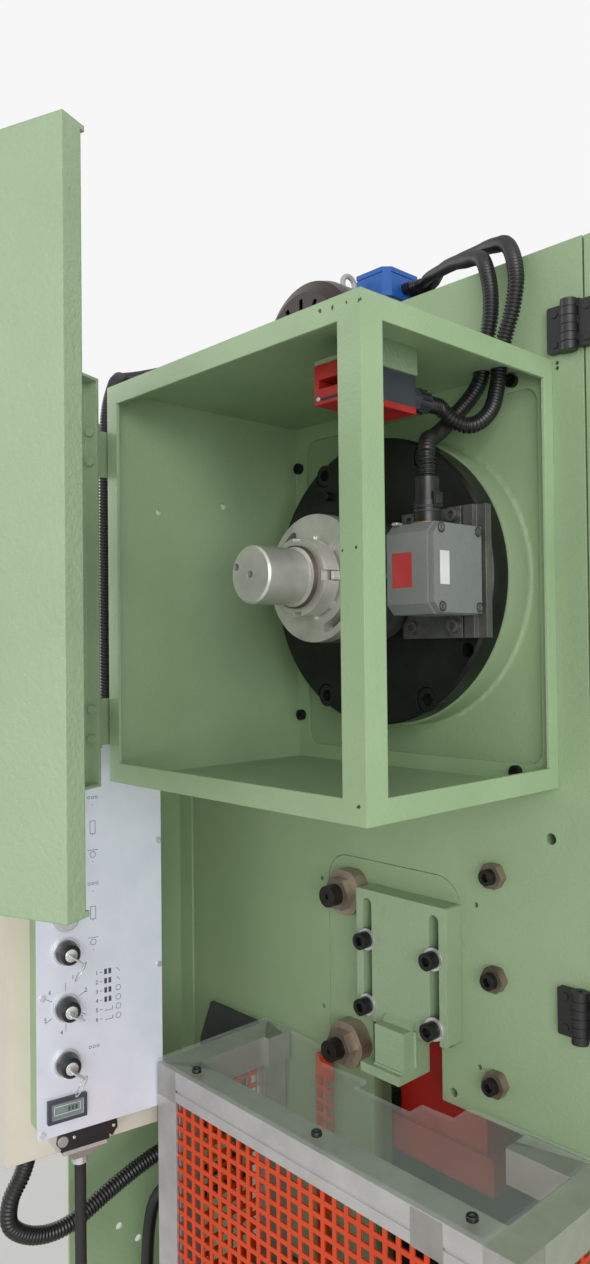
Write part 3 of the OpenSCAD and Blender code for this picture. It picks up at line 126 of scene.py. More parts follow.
class Sheet:
    # a material's node tree, with short names for the nodes used most
    def __init__(self, name):
        self.material = bpy.data.materials.new(name)
        self.material.use_nodes = True
        self.tree = self.material.node_tree
        self.shader = self.tree.nodes["Principled BSDF"]
        self.place = self.add("ShaderNodeTexCoord").outputs["Object"]

    def add(self, kind, inputs=None, **settings):
        return addNode(self.tree, kind, inputs, settings)

    def set(self, **values):
        for key, value in values.items():
            key = key.replace("_", " ")
            if isinstance(value, bpy.types.NodeSocket):
                self.tree.links.new(value, self.shader.inputs[key])
            else:
                self.shader.inputs[key].default_value = value

    def noise(self, scale, detail=3.0, rough=0.5, where=None):
        node = self.add("ShaderNodeTexNoise", {"Vector": where or self.place, "Scale": scale,
                                               "Detail": detail, "Roughness": rough})
        return node.outputs["Fac"]

    def stretched(self, sx, sy, sz, turn=(0, 0, 0)):
        node = self.add("ShaderNodeMapping", {"Vector": self.place, "Scale": (sx, sy, sz), "Rotation": turn})
        return node.outputs["Vector"]

    def ramp(self, value, low, high, outLow=0.0, outHigh=1.0):
        node = self.add("ShaderNodeMapRange", {"Value": value, "From Min": low, "From Max": high,
                                               "To Min": outLow, "To Max": outHigh})
        return node.outputs["Result"]

    def mix(self, share, a, b):
        node = self.add("ShaderNodeMix", {0: share, 6: a, 7: b}, data_type="RGBA")
        return node.outputs[2]

    def math(self, kind, a, b=0.0):
        node = self.add("ShaderNodeMath", {0: a, 1: b}, operation=kind)
        return node.outputs[0]

    def past(self, colour, user):
        # another colour past a plane: (axis, start, end, colour) with the places in local millimetres
        if not user.get("past"):
            return colour
        axis, start, end, other = user["past"]
        shift = {"Y": faceY, "Z": boxZ}[axis]
        along = self.add("ShaderNodeSeparateXYZ", {"Vector": self.place}).outputs[axis]
        return self.mix(self.ramp(along, (start + shift) * mm, (end + shift) * mm), colour, other)

    def bump(self, height, strength, distance, edge=0.0):
        inputs = {"Height": height, "Strength": strength, "Distance": distance}
        if edge:
            inputs["Normal"] = self.add("ShaderNodeBevel", {"Radius": edge}, samples=4).outputs["Normal"]
        self.set(Normal=self.add("ShaderNodeBump", inputs).outputs["Normal"])

    def spots(self, places, size, ragged=0.0025):
        # a mask of small ragged patches round the given points
        drift = self.add("ShaderNodeTexNoise", {"Vector": self.place, "Scale": 260.0, "Detail": 2.0})
        shift = self.add("ShaderNodeVectorMath", {0: drift.outputs["Color"], 1: (0.5, 0.5, 0.5)}, operation="SUBTRACT")
        grown = self.add("ShaderNodeVectorMath", {0: shift.outputs[0], "Scale": ragged * 2}, operation="SCALE")
        spot = self.add("ShaderNodeVectorMath", {0: self.place, 1: grown.outputs[0]}, operation="ADD").outputs[0]
        total = None
        for place in places:
            near = self.add("ShaderNodeVectorMath", {0: spot, 1: tuple(place)}, operation="DISTANCE").outputs["Value"]
            mask = self.math("LESS_THAN", near, size)
            total = mask if total is None else self.math("MAXIMUM", total, mask)
        return total


def hammeredPaint(name, user):
    # sprayed machine paint: fine orange peel over a soft unevenness, dust in patches, chips at named places
    sheet = Sheet(name)
    broad = sheet.noise(user["patch"], 4.0, 0.6)
    colour = sheet.mix(sheet.ramp(broad, 0.35, 0.7), user["colour"], user["shade"])
    speck = sheet.ramp(sheet.noise(user["speck"], 2.0), 0.66, 0.72, 0.0, user["speckShare"])
    colour = sheet.mix(speck, colour, user["dust"])
    if user.get("chips"):
        mask = sheet.spots(user["chips"], user.get("chipSize", 0.004))
        colour = sheet.mix(mask, colour, user["chipColour"])
    colour = sheet.past(colour, user)
    sheet.set(Base_Color=colour, Roughness=sheet.ramp(broad, 0.3, 0.7, user["rough"], user["rough"] + 0.12))
    sheet.set(Specular_IOR_Level=user["gloss"])
    peel = sheet.add("ShaderNodeTexVoronoi", {"Vector": sheet.place, "Scale": user["peel"]},
                     feature="SMOOTH_F1").outputs["Distance"]
    height = sheet.math("ADD", peel, sheet.noise(user["peel"] * 2.2, 2.0))
    sheet.bump(height, user["bump"], user["relief"], user.get("edge", 0.0012))
    return sheet.material


def machinedSteel(name, user):
    # tool marks run along the stretched axis
    sheet = Sheet(name)
    marks = sheet.noise(1.0, 3.0, 0.6, sheet.stretched(*user["grain"]))
    cloud = sheet.noise(25.0, 4.0)
    colour = sheet.mix(sheet.ramp(cloud, 0.35, 0.7), user["colour"], user["shade"])
    colour = sheet.mix(sheet.ramp(marks, 0.3, 0.8, 0.0, 0.35), colour, user["shade"])
    colour = sheet.past(colour, user)
    sheet.set(Base_Color=colour, Metallic=user.get("metal", 1.0))
    sheet.set(Roughness=sheet.ramp(cloud, 0.3, 0.7, user["rough"], user["rough"] + 0.18))
    sheet.bump(marks, user["bump"], 0.0003, user.get("edge", 0.0008))
    return sheet.material


def mouldedPlastic(name, user):
    sheet = Sheet(name)
    cloud = sheet.noise(30.0, 3.0)
    colour = sheet.mix(sheet.ramp(cloud, 0.35, 0.7), user["colour"], user["shade"])
    sheet.set(Base_Color=colour, Roughness=sheet.ramp(cloud, 0.3, 0.7, user["rough"], user["rough"] + 0.1))
    sheet.bump(sheet.noise(1400.0, 2.0), user.get("bump", 0.12), 0.0003, user.get("edge", 0.0007))
    return sheet.material


greenChips = [at(158, -270.5, 211.5), at(172, -270.5, 212), at(150, -270.5, 402), at(136.5, -270.5, 403.2),
              at(165, -270.5, 401.5), at(178.6, -270.5, 400), at(172, -270.5, 15.3)]
greenUser = {"colour": srgb(160, 184, 146), "shade": srgb(146, 171, 132), "dust": srgb(176, 196, 164),
             "patch": 6.0, "rough": 0.36, "peel": 330.0, "bump": 0.35, "relief": 0.0006, "gloss": 0.45,
             "speck": 900.0, "speckShare": 0.35, "chips": greenChips, "chipSize": 0.0016,
             "chipColour": srgb(84, 60, 44)}
# painted shade: a darker copy of the same green for the opened door, which is turned from the lamps; the brackets and
# hinges share it
greenPaintedShadeUser = {**greenUser, "colour": srgb(150, 171, 138), "shade": srgb(139, 160, 127), "chips": [], "bump": 0.6,
                 "peel": 260.0}
# painted shade: the same green made darker for the frame, its covers and its guards
frameGreenPaintedShadeUser = {**greenUser, "colour": srgb(146, 168, 131), "shade": srgb(140, 162, 126), "chips": [], "peel": 300.0,
                  "bump": 0.4}
# painted shade: from 0.5 to 16 mm behind the face the front plate's green turns dark, in the window's jambs and on the
# plate's edges
faceGreenPaintedShadeUser = {**frameGreenPaintedShadeUser, "past": ("Y", 0.5, 16, srgb(88, 110, 78))}
orangeUser = {**greenUser, "colour": srgb(206, 64, 0), "shade": srgb(190, 54, 0), "dust": srgb(212, 84, 20),
              "chips": [], "bump": 0.08, "edge": 0.0006, "rough": 0.38}
beigeUser = {**greenUser, "colour": srgb(214, 208, 194), "shade": srgb(205, 198, 183), "dust": srgb(226, 221, 210),
             "chips": [], "bump": 0.12}
blueUser = {**greenUser, "colour": srgb(26, 98, 184), "shade": srgb(20, 84, 164), "dust": srgb(60, 120, 190),
            "chips": [], "bump": 0.2}
redUser = {**greenUser, "colour": srgb(178, 34, 26), "shade": srgb(150, 24, 18), "dust": srgb(190, 60, 50),
           "chips": [], "bump": 0.15}
greyCastUser = {**greenUser, "colour": srgb(128, 131, 130), "shade": srgb(112, 116, 115), "dust": srgb(150, 152, 150),
                "chips": [], "peel": 520.0, "bump": 0.45, "rough": 0.45}
darkGreyUser = {**greyCastUser, "colour": srgb(72, 76, 80), "shade": srgb(60, 64, 68), "dust": srgb(92, 95, 97)}
cowlUser = {**greenUser, "colour": srgb(42, 30, 24), "shade": srgb(30, 22, 18), "dust": srgb(60, 48, 40),
            "chips": [], "bump": 0.2}
motorUser = {**greenUser, "colour": srgb(58, 62, 66), "shade": srgb(46, 50, 54), "dust": srgb(78, 80, 82),
             "chips": [], "bump": 0.3, "past": ("Z", 707, 708, srgb(176, 178, 176))}

steelUser = {"metal": 0.6, "colour": srgb(226, 225, 220), "shade": srgb(186, 184, 178), "rough": 0.28,
             "bump": 0.25, "grain": (1500, 60, 1500)}
darkSteelUser = {**steelUser, "colour": srgb(122, 121, 118), "shade": srgb(82, 82, 80), "rough": 0.34}
brownSteelUser = {**steelUser, "colour": srgb(128, 112, 98), "shade": srgb(84, 70, 58), "rough": 0.4}
boltSteelUser = {**brownSteelUser, "colour": srgb(190, 176, 162), "shade": srgb(140, 124, 108), "rough": 0.33,
                 "past": ("Y", -29.5, -30.5, srgb(46, 42, 38))}
nutSteelUser = {**brownSteelUser, "colour": srgb(170, 152, 136), "shade": srgb(112, 96, 82),
                "past": ("Y", -9.5, -10.5, srgb(38, 38, 38))}
blackSteelUser = {"colour": srgb(44, 45, 44), "shade": srgb(26, 27, 27), "rough": 0.3, "bump": 0.15,
                  "grain": (300, 300, 300), "metal": 0.55}
bronzeUser = {**steelUser, "colour": srgb(196, 152, 92), "shade": srgb(160, 120, 66)}
chromeUser = {**steelUser, "colour": srgb(225, 225, 225), "shade": srgb(190, 190, 190), "rough": 0.12, "bump": 0.05}
aluminiumUser = {**steelUser, "colour": srgb(206, 204, 202), "shade": srgb(186, 184, 183), "rough": 0.36,
                 "grain": (900, 900, 30), "bump": 0.12, "metal": 0.75}
# partly the plate's own light colour, partly painted sheen: a brighter, bluish colour with little metal in place of the
# aluminium's reflection
platePaintedSheenUser = {**aluminiumUser, "colour": srgb(222, 226, 238), "shade": srgb(210, 215, 228), "grain": (900, 30, 900),
             "metal": 0.25}

blackPlasticUser = {"colour": srgb(30, 30, 31), "shade": srgb(22, 22, 23), "rough": 0.3}
darkPlasticUser = {"colour": srgb(50, 50, 54), "shade": srgb(38, 38, 42), "rough": 0.42}
slateUser = {"colour": srgb(64, 68, 78), "shade": srgb(54, 58, 68), "rough": 0.4}
redPlasticUser = {"colour": srgb(186, 44, 40), "shade": srgb(160, 34, 32), "rough": 0.4}
rubberUser = {"colour": srgb(34, 34, 34), "shade": srgb(24, 24, 24), "rough": 0.6, "bump": 0.3}


def clearPlastic(name):
    sheet = Sheet(name)
    haze = sheet.noise(40.0, 3.0)
    sheet.set(Base_Color=srgb(226, 234, 232), Alpha=0.13, IOR=1.49, Specular_IOR_Level=0.8)
    sheet.set(Roughness=sheet.ramp(haze, 0.3, 0.8, 0.04, 0.12))
    return sheet.material


green = hammeredPaint("green", greenUser)
frameGreenPaintedShade = hammeredPaint("frameGreenPaintedShade", frameGreenPaintedShadeUser)
faceGreenPaintedShade = hammeredPaint("faceGreenPaintedShade", faceGreenPaintedShadeUser)
greenPaintedShade = hammeredPaint("greenPaintedShade", greenPaintedShadeUser)
orangePaint = hammeredPaint("orangePaint", orangeUser)
beigePaint = hammeredPaint("beigePaint", beigeUser)
bluePaint = hammeredPaint("bluePaint", blueUser)
redPaint = hammeredPaint("redPaint", redUser)
greyCast = hammeredPaint("greyCast", greyCastUser)
darkGreyPaint = hammeredPaint("darkGreyPaint", darkGreyUser)
cowlPaint = hammeredPaint("cowlPaint", cowlUser)
motorPaint = hammeredPaint("motorPaint", motorUser)
turnedSteel = machinedSteel("turnedSteel", steelUser)
darkSteel = machinedSteel("darkSteel", darkSteelUser)
brownSteel = machinedSteel("brownSteel", brownSteelUser)
boltSteel = machinedSteel("boltSteel", boltSteelUser)
nutSteel = machinedSteel("nutSteel", nutSteelUser)
blackSteel = machinedSteel("blackSteel", blackSteelUser)
bronze = machinedSteel("bronze", bronzeUser)
chrome = machinedSteel("chrome", chromeUser)
aluminium = machinedSteel("aluminium", aluminiumUser)
printedPlate = machinedSteel("printedPlate", platePaintedSheenUser)
blackPlastic = mouldedPlastic("blackPlastic", blackPlasticUser)
darkPlastic = mouldedPlastic("darkPlastic", darkPlasticUser)
slatePlastic = mouldedPlastic("slatePlastic", slateUser)
redPlastic = mouldedPlastic("redPlastic", redPlasticUser)
rubber = mouldedPlastic("rubber", rubberUser)
clear = clearPlastic("clear")

finishes = {
    faceGreenPaintedShade: ["front_plate"],
    frameGreenPaintedShade: ["frame_body", "ram_cover", "service_door", "drive_guard"],
    green: ["guard_box", "wing_plate"],
    greenPaintedShade: ["guard_door", "stop_bracket", "interlock_bracket", "box_hinges", "door_hinges"],
    redPaint: ["guide_housing", "ram"],
    blackSteel: ["bearing_cover", "socket_screws"],
    nutSteel: ["gib_screws"],
    turnedSteel: ["crankshaft", "index_flange", "tab_washer", "locknut", "ball_screw", "cam_plunger", "interlock_key"],
    darkSteel: ["cam_hub", "clutch_plate", "conrod", "motor_pulley", "bolster", "cam_switch_base", "flywheel"],
    boltSteel: ["adjusting_bolts"],
    bronze: ["gibs", "main_bearings", "conrod_bush"],
    chrome: ["stop_washers", "panel_fittings"],
    greyCast: ["cam_switch", "cam_switch_lid"],
    darkGreyPaint: ["mounting_plate"],
    redPlastic: ["interlock_head"],
    slatePlastic: ["interlock_body"],
    darkPlastic: ["key_rotor_top", "selector_rotor", "key_rotor_bottom"],
    blackPlastic: ["service_hinges", "service_door_hinges", "cable_glands", "conduits", "loop_conduit"],
    rubber: ["drive_belts", "connector_cable"],
    bluePaint: ["terminal_box"],
    cowlPaint: ["fan_cowl"],
    motorPaint: ["motor"],
    aluminium: ["tool_guard_frame"],
    orangePaint: ["tool_guard_sheets"],
    clear: ["tool_guard_top"],
    beigePaint: ["cabinet"],
    printedPlate: ["panel_plate"],
}
for material, names in finishes.items():
    for name in names:
        nodes[name].data.materials.clear()
        nodes[name].data.materials.append(material)
print("materials assigned")

# Curves and Geometry Nodes


def smooth(points, steps):
    # the same rounded route as the solids have, through the given points
    out = []
    last = len(points) - 1
    for i in range(last):
        a, b = points[max(i - 1, 0)], points[i]
        c, d = points[i + 1], points[min(i + 2, last)]
        for k in range(steps):
            t = k / steps
            out.append(0.5 * (2 * b + (c - a) * t + (2 * a - 5 * b + 4 * c - d) * t * t
                              + (3 * b - a - 3 * c + d) * t * t * t))
    out.append(points[last])
    return out


def curveObject(name, lines, closed=False):
    data = bpy.data.curves.new(name, "CURVE")
    data.dimensions = "3D"
    for line in lines:
        spline = data.splines.new("POLY")
        spline.points.add(len(line) - 1)
        for point, place in zip(spline.points, line):
            point.co = (*place, 1.0)
        spline.use_cyclic_u = closed
    thing = bpy.data.objects.new(name, data)
    bpy.context.scene.collection.objects.link(thing)
    return thing


class Grower:
    # a Geometry Nodes tree with named inputs, built once and used on many pieces
    def __init__(self, name, sizes):
        self.tree = bpy.data.node_groups.new(name, "GeometryNodeTree")
        face = self.tree.interface
        face.new_socket("Geometry", in_out="INPUT", socket_type="NodeSocketGeometry")
        face.new_socket("Geometry", in_out="OUTPUT", socket_type="NodeSocketGeometry")
        self.ids = {}
        for key, value in sizes.items():
            kind = "NodeSocketInt" if isinstance(value, int) else "NodeSocketFloat"
            self.ids[key] = face.new_socket(key, in_out="INPUT", socket_type=kind).identifier
        self.ids["Finish"] = face.new_socket("Finish", in_out="INPUT", socket_type="NodeSocketMaterial").identifier
        self.start = self.tree.nodes.new("NodeGroupInput")
        self.end = self.tree.nodes.new("NodeGroupOutput")

    def add(self, kind, inputs=None, **settings):
        return addNode(self.tree, kind, inputs, settings)

    def size(self, key):
        return self.start.outputs[key]

    def math(self, kind, a, b=0.0):
        return self.add("ShaderNodeMath", {0: a, 1: b}, operation=kind).outputs[0]

    def close(self, shape):
        real = self.add("GeometryNodeRealizeInstances", {"Geometry": shape})
        painted = self.add("GeometryNodeSetMaterial", {"Geometry": real.outputs[0], "Material": self.size("Finish")})
        self.tree.links.new(painted.outputs[0], self.end.inputs[0])


def grow(name, base, grower, sizes, finish, body):
    # runs a tree on a base object and keeps the result as one plain mesh on a body
    modifier = base.modifiers.new("grow", "NODES")
    modifier.node_group = grower.tree
    for key, value in {**sizes, "Finish": finish}.items():
        modifier[grower.ids[key]] = value
    bpy.context.view_layer.update()
    seen = base.evaluated_get(bpy.context.evaluated_depsgraph_get())
    mesh = bpy.data.meshes.new_from_object(seen)
    mesh.name = name
    bpy.data.objects.remove(base)
    piece = bpy.data.objects.new(name, mesh)
    bpy.context.scene.collection.objects.link(piece)
    if not mesh.materials:
        mesh.materials.append(finish)
    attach(piece, body)
    return piece


def corrugatedTree():
    # rings of a corrugated conduit: the tube's radius steps out and in along its length
    made = Grower("corrugated", {"Outer": 0.008, "Inner": 0.0068, "Pitch": 0.003, "Sides": 14})
    step = made.math("DIVIDE", made.size("Pitch"), 4.0)
    even = made.add("GeometryNodeResampleCurve", {"Curve": made.start.outputs["Geometry"], "Length": step},
                    mode="LENGTH")
    phase = made.math("MODULO", made.add("GeometryNodeInputIndex").outputs[0], 4.0)
    raised = made.math("GREATER_THAN", phase, 1.5)
    gain = made.math("MULTIPLY", made.math("SUBTRACT", made.size("Outer"), made.size("Inner")), raised)
    radius = made.math("ADD", made.size("Inner"), gain)
    ring = made.add("GeometryNodeCurvePrimitiveCircle", {"Resolution": made.size("Sides"), "Radius": 1.0})
    tube = made.add("GeometryNodeCurveToMesh", {"Curve": even.outputs[0], "Profile Curve": ring.outputs[0],
                                                "Scale": radius, "Fill Caps": True})
    soft = made.add("GeometryNodeSetShadeSmooth", {"Geometry": tube.outputs[0], "Shade Smooth": True})
    made.close(soft.outputs[0])
    return made


corrugated = corrugatedTree()

# Conduits and cords: the same points as the solids' routes, in millimetres from the face and the box floor
conduitUser = {"outer": 8.0, "inner": 6.3, "pitch": 3.6, "sides": 14}
loopUser = {"outer": 10.0, "inner": 8.6, "pitch": 4.2, "sides": 16}
conduitRoutes = {
    "cam_switch_conduit": [(-317.7, 395, 732), (-308, 395, 732), (-298, 395, 732), (-276, 380, 724), (-212, 308, 692),
                           (-106, 200, 640), (-15, 110, 596), (50, 44, 560), (90, 8, 540), (114, -14, 520),
                           (125, -21, 490), (127, -24, 462), (123, -25, 440), (118, -26, 420), (117, -27, 402),
                           (113, -36, 384), (106, -50, 366), (100, -67, 348), (104, -88, 336), (115, -110, 328),
                           (123, -122, 314), (123, -122, 302), (123, -122, 290.6)],
    "interlock_conduit": [(-317.7, 415, 732), (-308, 415, 732), (-298, 415, 732), (-274, 402, 728), (-190, 316, 702),
                          (-80, 210, 650), (12, 120, 604), (62, 70, 579), (100, 28, 556), (130, 0, 539),
                          (147, -14, 518), (155, -21, 490), (151, -22, 462), (143, -22, 440), (137, -22, 420),
                          (135, -23, 402), (135, -27, 386), (135, -36, 366), (132, -50, 352), (126, -62, 347),
                          (118, -72, 351), (112, -79, 359), (110, -86, 364), (110, -95, 364), (110, -104.7, 364)],
    "cabinet_conduit": [(-272, -218, 54.3), (-272, -218, 90), (-272, -218, 194), (-271, -218, 300),
                        (-270, -216, 400), (-280, -200, 446), (-312, -172, 468), (-345, -150, 479),
                        (-352, -110, 492), (-356, -60, 512), (-360, 0, 545), (-372, 70, 570), (-384, 125, 574),
                        (-389, 165, 564), (-390, 185, 548), (-390, 185, 534), (-390, 185, 520.3)],
}
riserRoutes = {
    "riser_left": [(-316, -3.4, -548), (-316, -12, -548), (-316, -24, -548), (-325, -72, -546), (-342, -102, -560),
                   (-350, -113, -604), (-352, -116, -700), (-352, -112, -800), (-350, -90, -870), (-348, -44, -902),
                   (-348, -24, -905), (-348, -12, -905), (-348, -3.4, -905)],
    "riser_right": [(-288, -3.4, -556), (-288, -12, -556), (-288, -24, -556), (-296, -62, -556), (-312, -90, -568),
                    (-324, -100, -608), (-328, -103, -700), (-328, -100, -800), (-326, -80, -866), (-324, -44, -900),
                    (-324, -24, -905), (-324, -12, -905), (-324, -3.4, -905)],
}
loopRoute = [(-350, -280, -431.3), (-350, -280, -441), (-350, -280, -451), (-352, -286, -470), (-354, -299, -495),
             (-354, -298, -524), (-352, -268, -546), (-350, -226, -550), (-350, -170, -532), (-348, -119, -516),
             (-340, -75, -504), (-328, -54, -497), (-325, -40, -496), (-325, -28, -496), (-325, -16.3, -496)]
plugRoute = [(-280, -251, -438.3), (-280, -251, -470), (-280, -251, -541), (-279, -250, -620), (-280, -236, -700),
             (-284, -190, -765), (-290, -120, -800), (-296, -60, -812), (-298, -28, -813), (-298, -10.3, -813)]


def conduitPiece(name, route, user):
    line = smooth([at(*p) for p in route], 12)
    sizes = {"Outer": user["outer"] * mm, "Inner": user["inner"] * mm, "Pitch": user["pitch"] * mm,
             "Sides": user["sides"]}
    return grow(name, curveObject(name, [line]), corrugated, sizes, blackPlastic, "frame"), line


loop, loopLine = conduitPiece("loop_conduit_rings", loopRoute, loopUser)
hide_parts("loop_conduit")

smoothCableUser = {"outer": 6.5, "inner": 6.5, "pitch": 12.0, "sides": 20}
cable, cableLine = conduitPiece("connector_cable_sheath", plugRoute, smoothCableUser)
cable.data.materials.clear()
cable.data.materials.append(rubber)
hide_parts("connector_cable")

for name, route in conduitRoutes.items():
    piece, line = conduitPiece(name, route, conduitUser)
    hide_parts("conduits")
riserUser = {**conduitUser, "inner": 8.0, "pitch": 10.0}
for name, route in riserRoutes.items():
    piece, line = conduitPiece(name, route, conduitUser if name == "riser_right" else riserUser)
    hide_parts("conduits")
print("conduits and cords grown")

# Mesh pieces


class Maker:
    # gathers turned, boxed and drawn shapes into one mesh, each with its own finish
    def __init__(self, place=at):
        self.mesh = bmesh.new()
        self.place = place
        self.finishes = []

    def keep(self, face, finish):
        if finish not in self.finishes:
            self.finishes.append(finish)
        face.material_index = self.finishes.index(finish)

    def ring(self, centre, axis, radius, sides, turn=0.0):
        side = axis.orthogonal().normalized()
        other = axis.cross(side)
        if radius == 0:
            return [self.mesh.verts.new(centre)]
        turns = [turn + 2 * math.pi * k / sides for k in range(sides)]
        return [self.mesh.verts.new(centre + (side * math.cos(t) + other * math.sin(t)) * radius * mm) for t in turns]

    def turned(self, profile, origin, towards, finish, sides=40, turn=0.0):
        # profile: (distance along the axis, radius) pairs, with the solid on the inner side of the line
        start = self.place(*origin)
        axis = (self.place(*[a + b for a, b in zip(origin, towards)]) - start).normalized()
        rings = [self.ring(start + axis * along * mm, axis, radius, sides, turn) for along, radius in profile]
        for a, b in zip(rings, rings[1:]):
            for k in range(max(len(a), len(b)) if len(a) + len(b) > 2 else 0):
                j = (k + 1) % sides
                corners = [a[k % len(a)], a[j % len(a)], b[j % len(b)], b[k % len(b)]]
                corners = [v for i, v in enumerate(corners) if v not in corners[:i]]
                self.keep(self.mesh.faces.new(corners), finish)

    def prism(self, outline, low, high, finish, plane="xz"):
        # an outline drawn on a plane and pushed from low to high across it
        spots = {"xz": lambda a, b, h: self.place(a, h, b), "yz": lambda a, b, h: self.place(h, a, b),
                 "xy": lambda a, b, h: self.place(a, b, h)}[plane]
        bottom = [self.mesh.verts.new(spots(a, b, low)) for a, b in outline]
        top = [self.mesh.verts.new(spots(a, b, high)) for a, b in outline]
        faces = [self.mesh.faces.new(bottom), self.mesh.faces.new(list(reversed(top)))]
        for k in range(len(outline)):
            j = (k + 1) % len(outline)
            faces.append(self.mesh.faces.new([bottom[k], top[k], top[j], bottom[j]]))
        bmesh.ops.recalc_face_normals(self.mesh, faces=faces)
        for face in faces:
            self.keep(face, finish)

    def block(self, x0, x1, y0, y1, z0, z1, finish):
        self.prism([(x0, z0), (x1, z0), (x1, z1), (x0, z1)], y0, y1, finish)

    def hoop(self, centre, axis, radius, thick, finish, sides=36, around=10):
        # a closed ring of round wire
        middle = self.place(*centre)
        axis = (self.place(*[a + b for a, b in zip(centre, axis)]) - middle).normalized()
        side = axis.orthogonal().normalized()
        other = axis.cross(side)
        loops = []
        for k in range(sides):
            t = 2 * math.pi * k / sides
            out = side * math.cos(t) + other * math.sin(t)
            turns = [2 * math.pi * i / around for i in range(around)]
            loops.append([self.mesh.verts.new(middle + out * (radius + thick * math.cos(w)) * mm
                                              + axis * thick * math.sin(w) * mm) for w in turns])
        for a, b in zip(loops, loops[1:] + loops[:1]):
            for i in range(around):
                j = (i + 1) % around
                self.keep(self.mesh.faces.new([a[i], b[i], b[j], a[j]]), finish)

    def done(self, name, body, bevel=0.0, angle=34, replaces=()):
        mesh = bpy.data.meshes.new(name)
        self.mesh.to_mesh(mesh)
        self.mesh.free()
        for finish in self.finishes:
            mesh.materials.append(finish)
        for face in mesh.polygons:
            face.use_smooth = True
        mesh.set_sharp_from_angle(angle=math.radians(angle))
        piece = bpy.data.objects.new(name, mesh)
        bpy.context.scene.collection.objects.link(piece)
        if bevel:
            edge = piece.modifiers.new("edge", "BEVEL")
            edge.width = bevel * mm
            edge.segments = 2
            edge.limit_method = "ANGLE"
            edge.angle_limit = math.radians(40)
        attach(piece, body)
        for node in replaces:
            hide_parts(node)
        return piece


# Control plate: printed marks, generic signs only
inkUser = {"colour": srgb(58, 60, 66), "shade": srgb(72, 74, 80), "rough": 0.6}
ink = mouldedPlastic("ink", inkUser)
plateMarks = {"switchAlong": 32, "selector": -254.8, "places": 6, "tick": (17.5, 26.5), "numbersOut": (24, 29),
              "numberSize": 6.5, "signAlong": 64, "signs": (-28.7, -62, -92.4, -124.7, -157, -189.7, -305.3),
              "thick": 0.12, "line": 0.5, "tableAlong": 66, "tableTop": -225.2, "tableStep": 10.35}


def stroke(make, a, b, width, user):
    # a printed line between two points of the plate, given along and up
    (u0, z0), (u1, z1) = a, b
    size = math.hypot(u1 - u0, z1 - z0)
    du, dz = -(z1 - z0) / size * width / 2, (u1 - u0) / size * width / 2
    corners = [(u0 + du, z0 + dz), (u0 - du, z0 - dz), (u1 - du, z1 - dz), (u1 + du, z1 + dz)]
    make.prism(corners, 0, user["thick"], ink, "yz")


def circleMark(make, u, z, radius, width, user, sides=20):
    turns = [2 * math.pi * k / sides for k in range(sides)]
    spots = [(u + radius * math.cos(t), z + radius * math.sin(t)) for t in turns]
    for a, b in zip(spots, spots[1:] + spots[:1]):
        stroke(make, a, b, width, user)


def makeMarks(user):
    make = Maker(onPanel)
    u0, z0 = user["switchAlong"], user["selector"]
    near, far = user["tick"]
    for k in range(user["places"]):
        turn = math.radians(90 - 60 * k)
        c, s = math.cos(turn), math.sin(turn)
        stroke(make, (u0 + near * c, z0 + near * s), (u0 + far * c, z0 + far * s), user["line"], user)
    for row in range(user["places"]):
        z = user["tableTop"] - row * user["tableStep"]
        u = user["tableAlong"]
        stroke(make, (u + 5, z), (u + 8, z), user["line"], user)
        if row < 4:
            for x in (12, 17):
                make.prism([(u + x - 1.6, z - 3), (u + x + 1.6, z - 3), (u + x + 1.6, z + 3), (u + x - 1.6, z + 3)], 0,
                           user["thick"], ink, "yz")
        else:
            stroke(make, (u + 11, z - 2), (u + 20, z - 2), user["line"], user)
            stroke(make, (u + 20, z - 2), (u + 20, z + 2), user["line"], user)
        if row > 1:
            circleMark(make, u + 27, z, 3.0, user["line"], user)
        else:
            stroke(make, (u + 25, z + 2), (u + 29, z - 2), user["line"], user)
    for i, z in enumerate(user["signs"]):
        u = user["signAlong"]
        if i % 3 == 0:
            for k in (-4.5, 0, 4.5):
                circleMark(make, u + k, z, 1.5, user["line"], user, 8)
        if i % 3 == 1:
            for a, b in (((-3, -7), (3, -7)), ((3, -7), (3, 7)), ((3, 7), (-3, 7)), ((-3, 7), (-3, -7))):
                stroke(make, (u + a[0], z + a[1]), (u + b[0], z + b[1]), user["line"], user)
        if i % 3 == 2:
            circleMark(make, u, z, 3.2, user["line"], user)
            stroke(make, (u - 6, z + 5), (u + 6, z + 5), user["line"], user)
        stroke(make, (u, z - 9), (u, z - 7.5), user["line"], user)
    return make.done("plate_marks", "frame", angle=10)


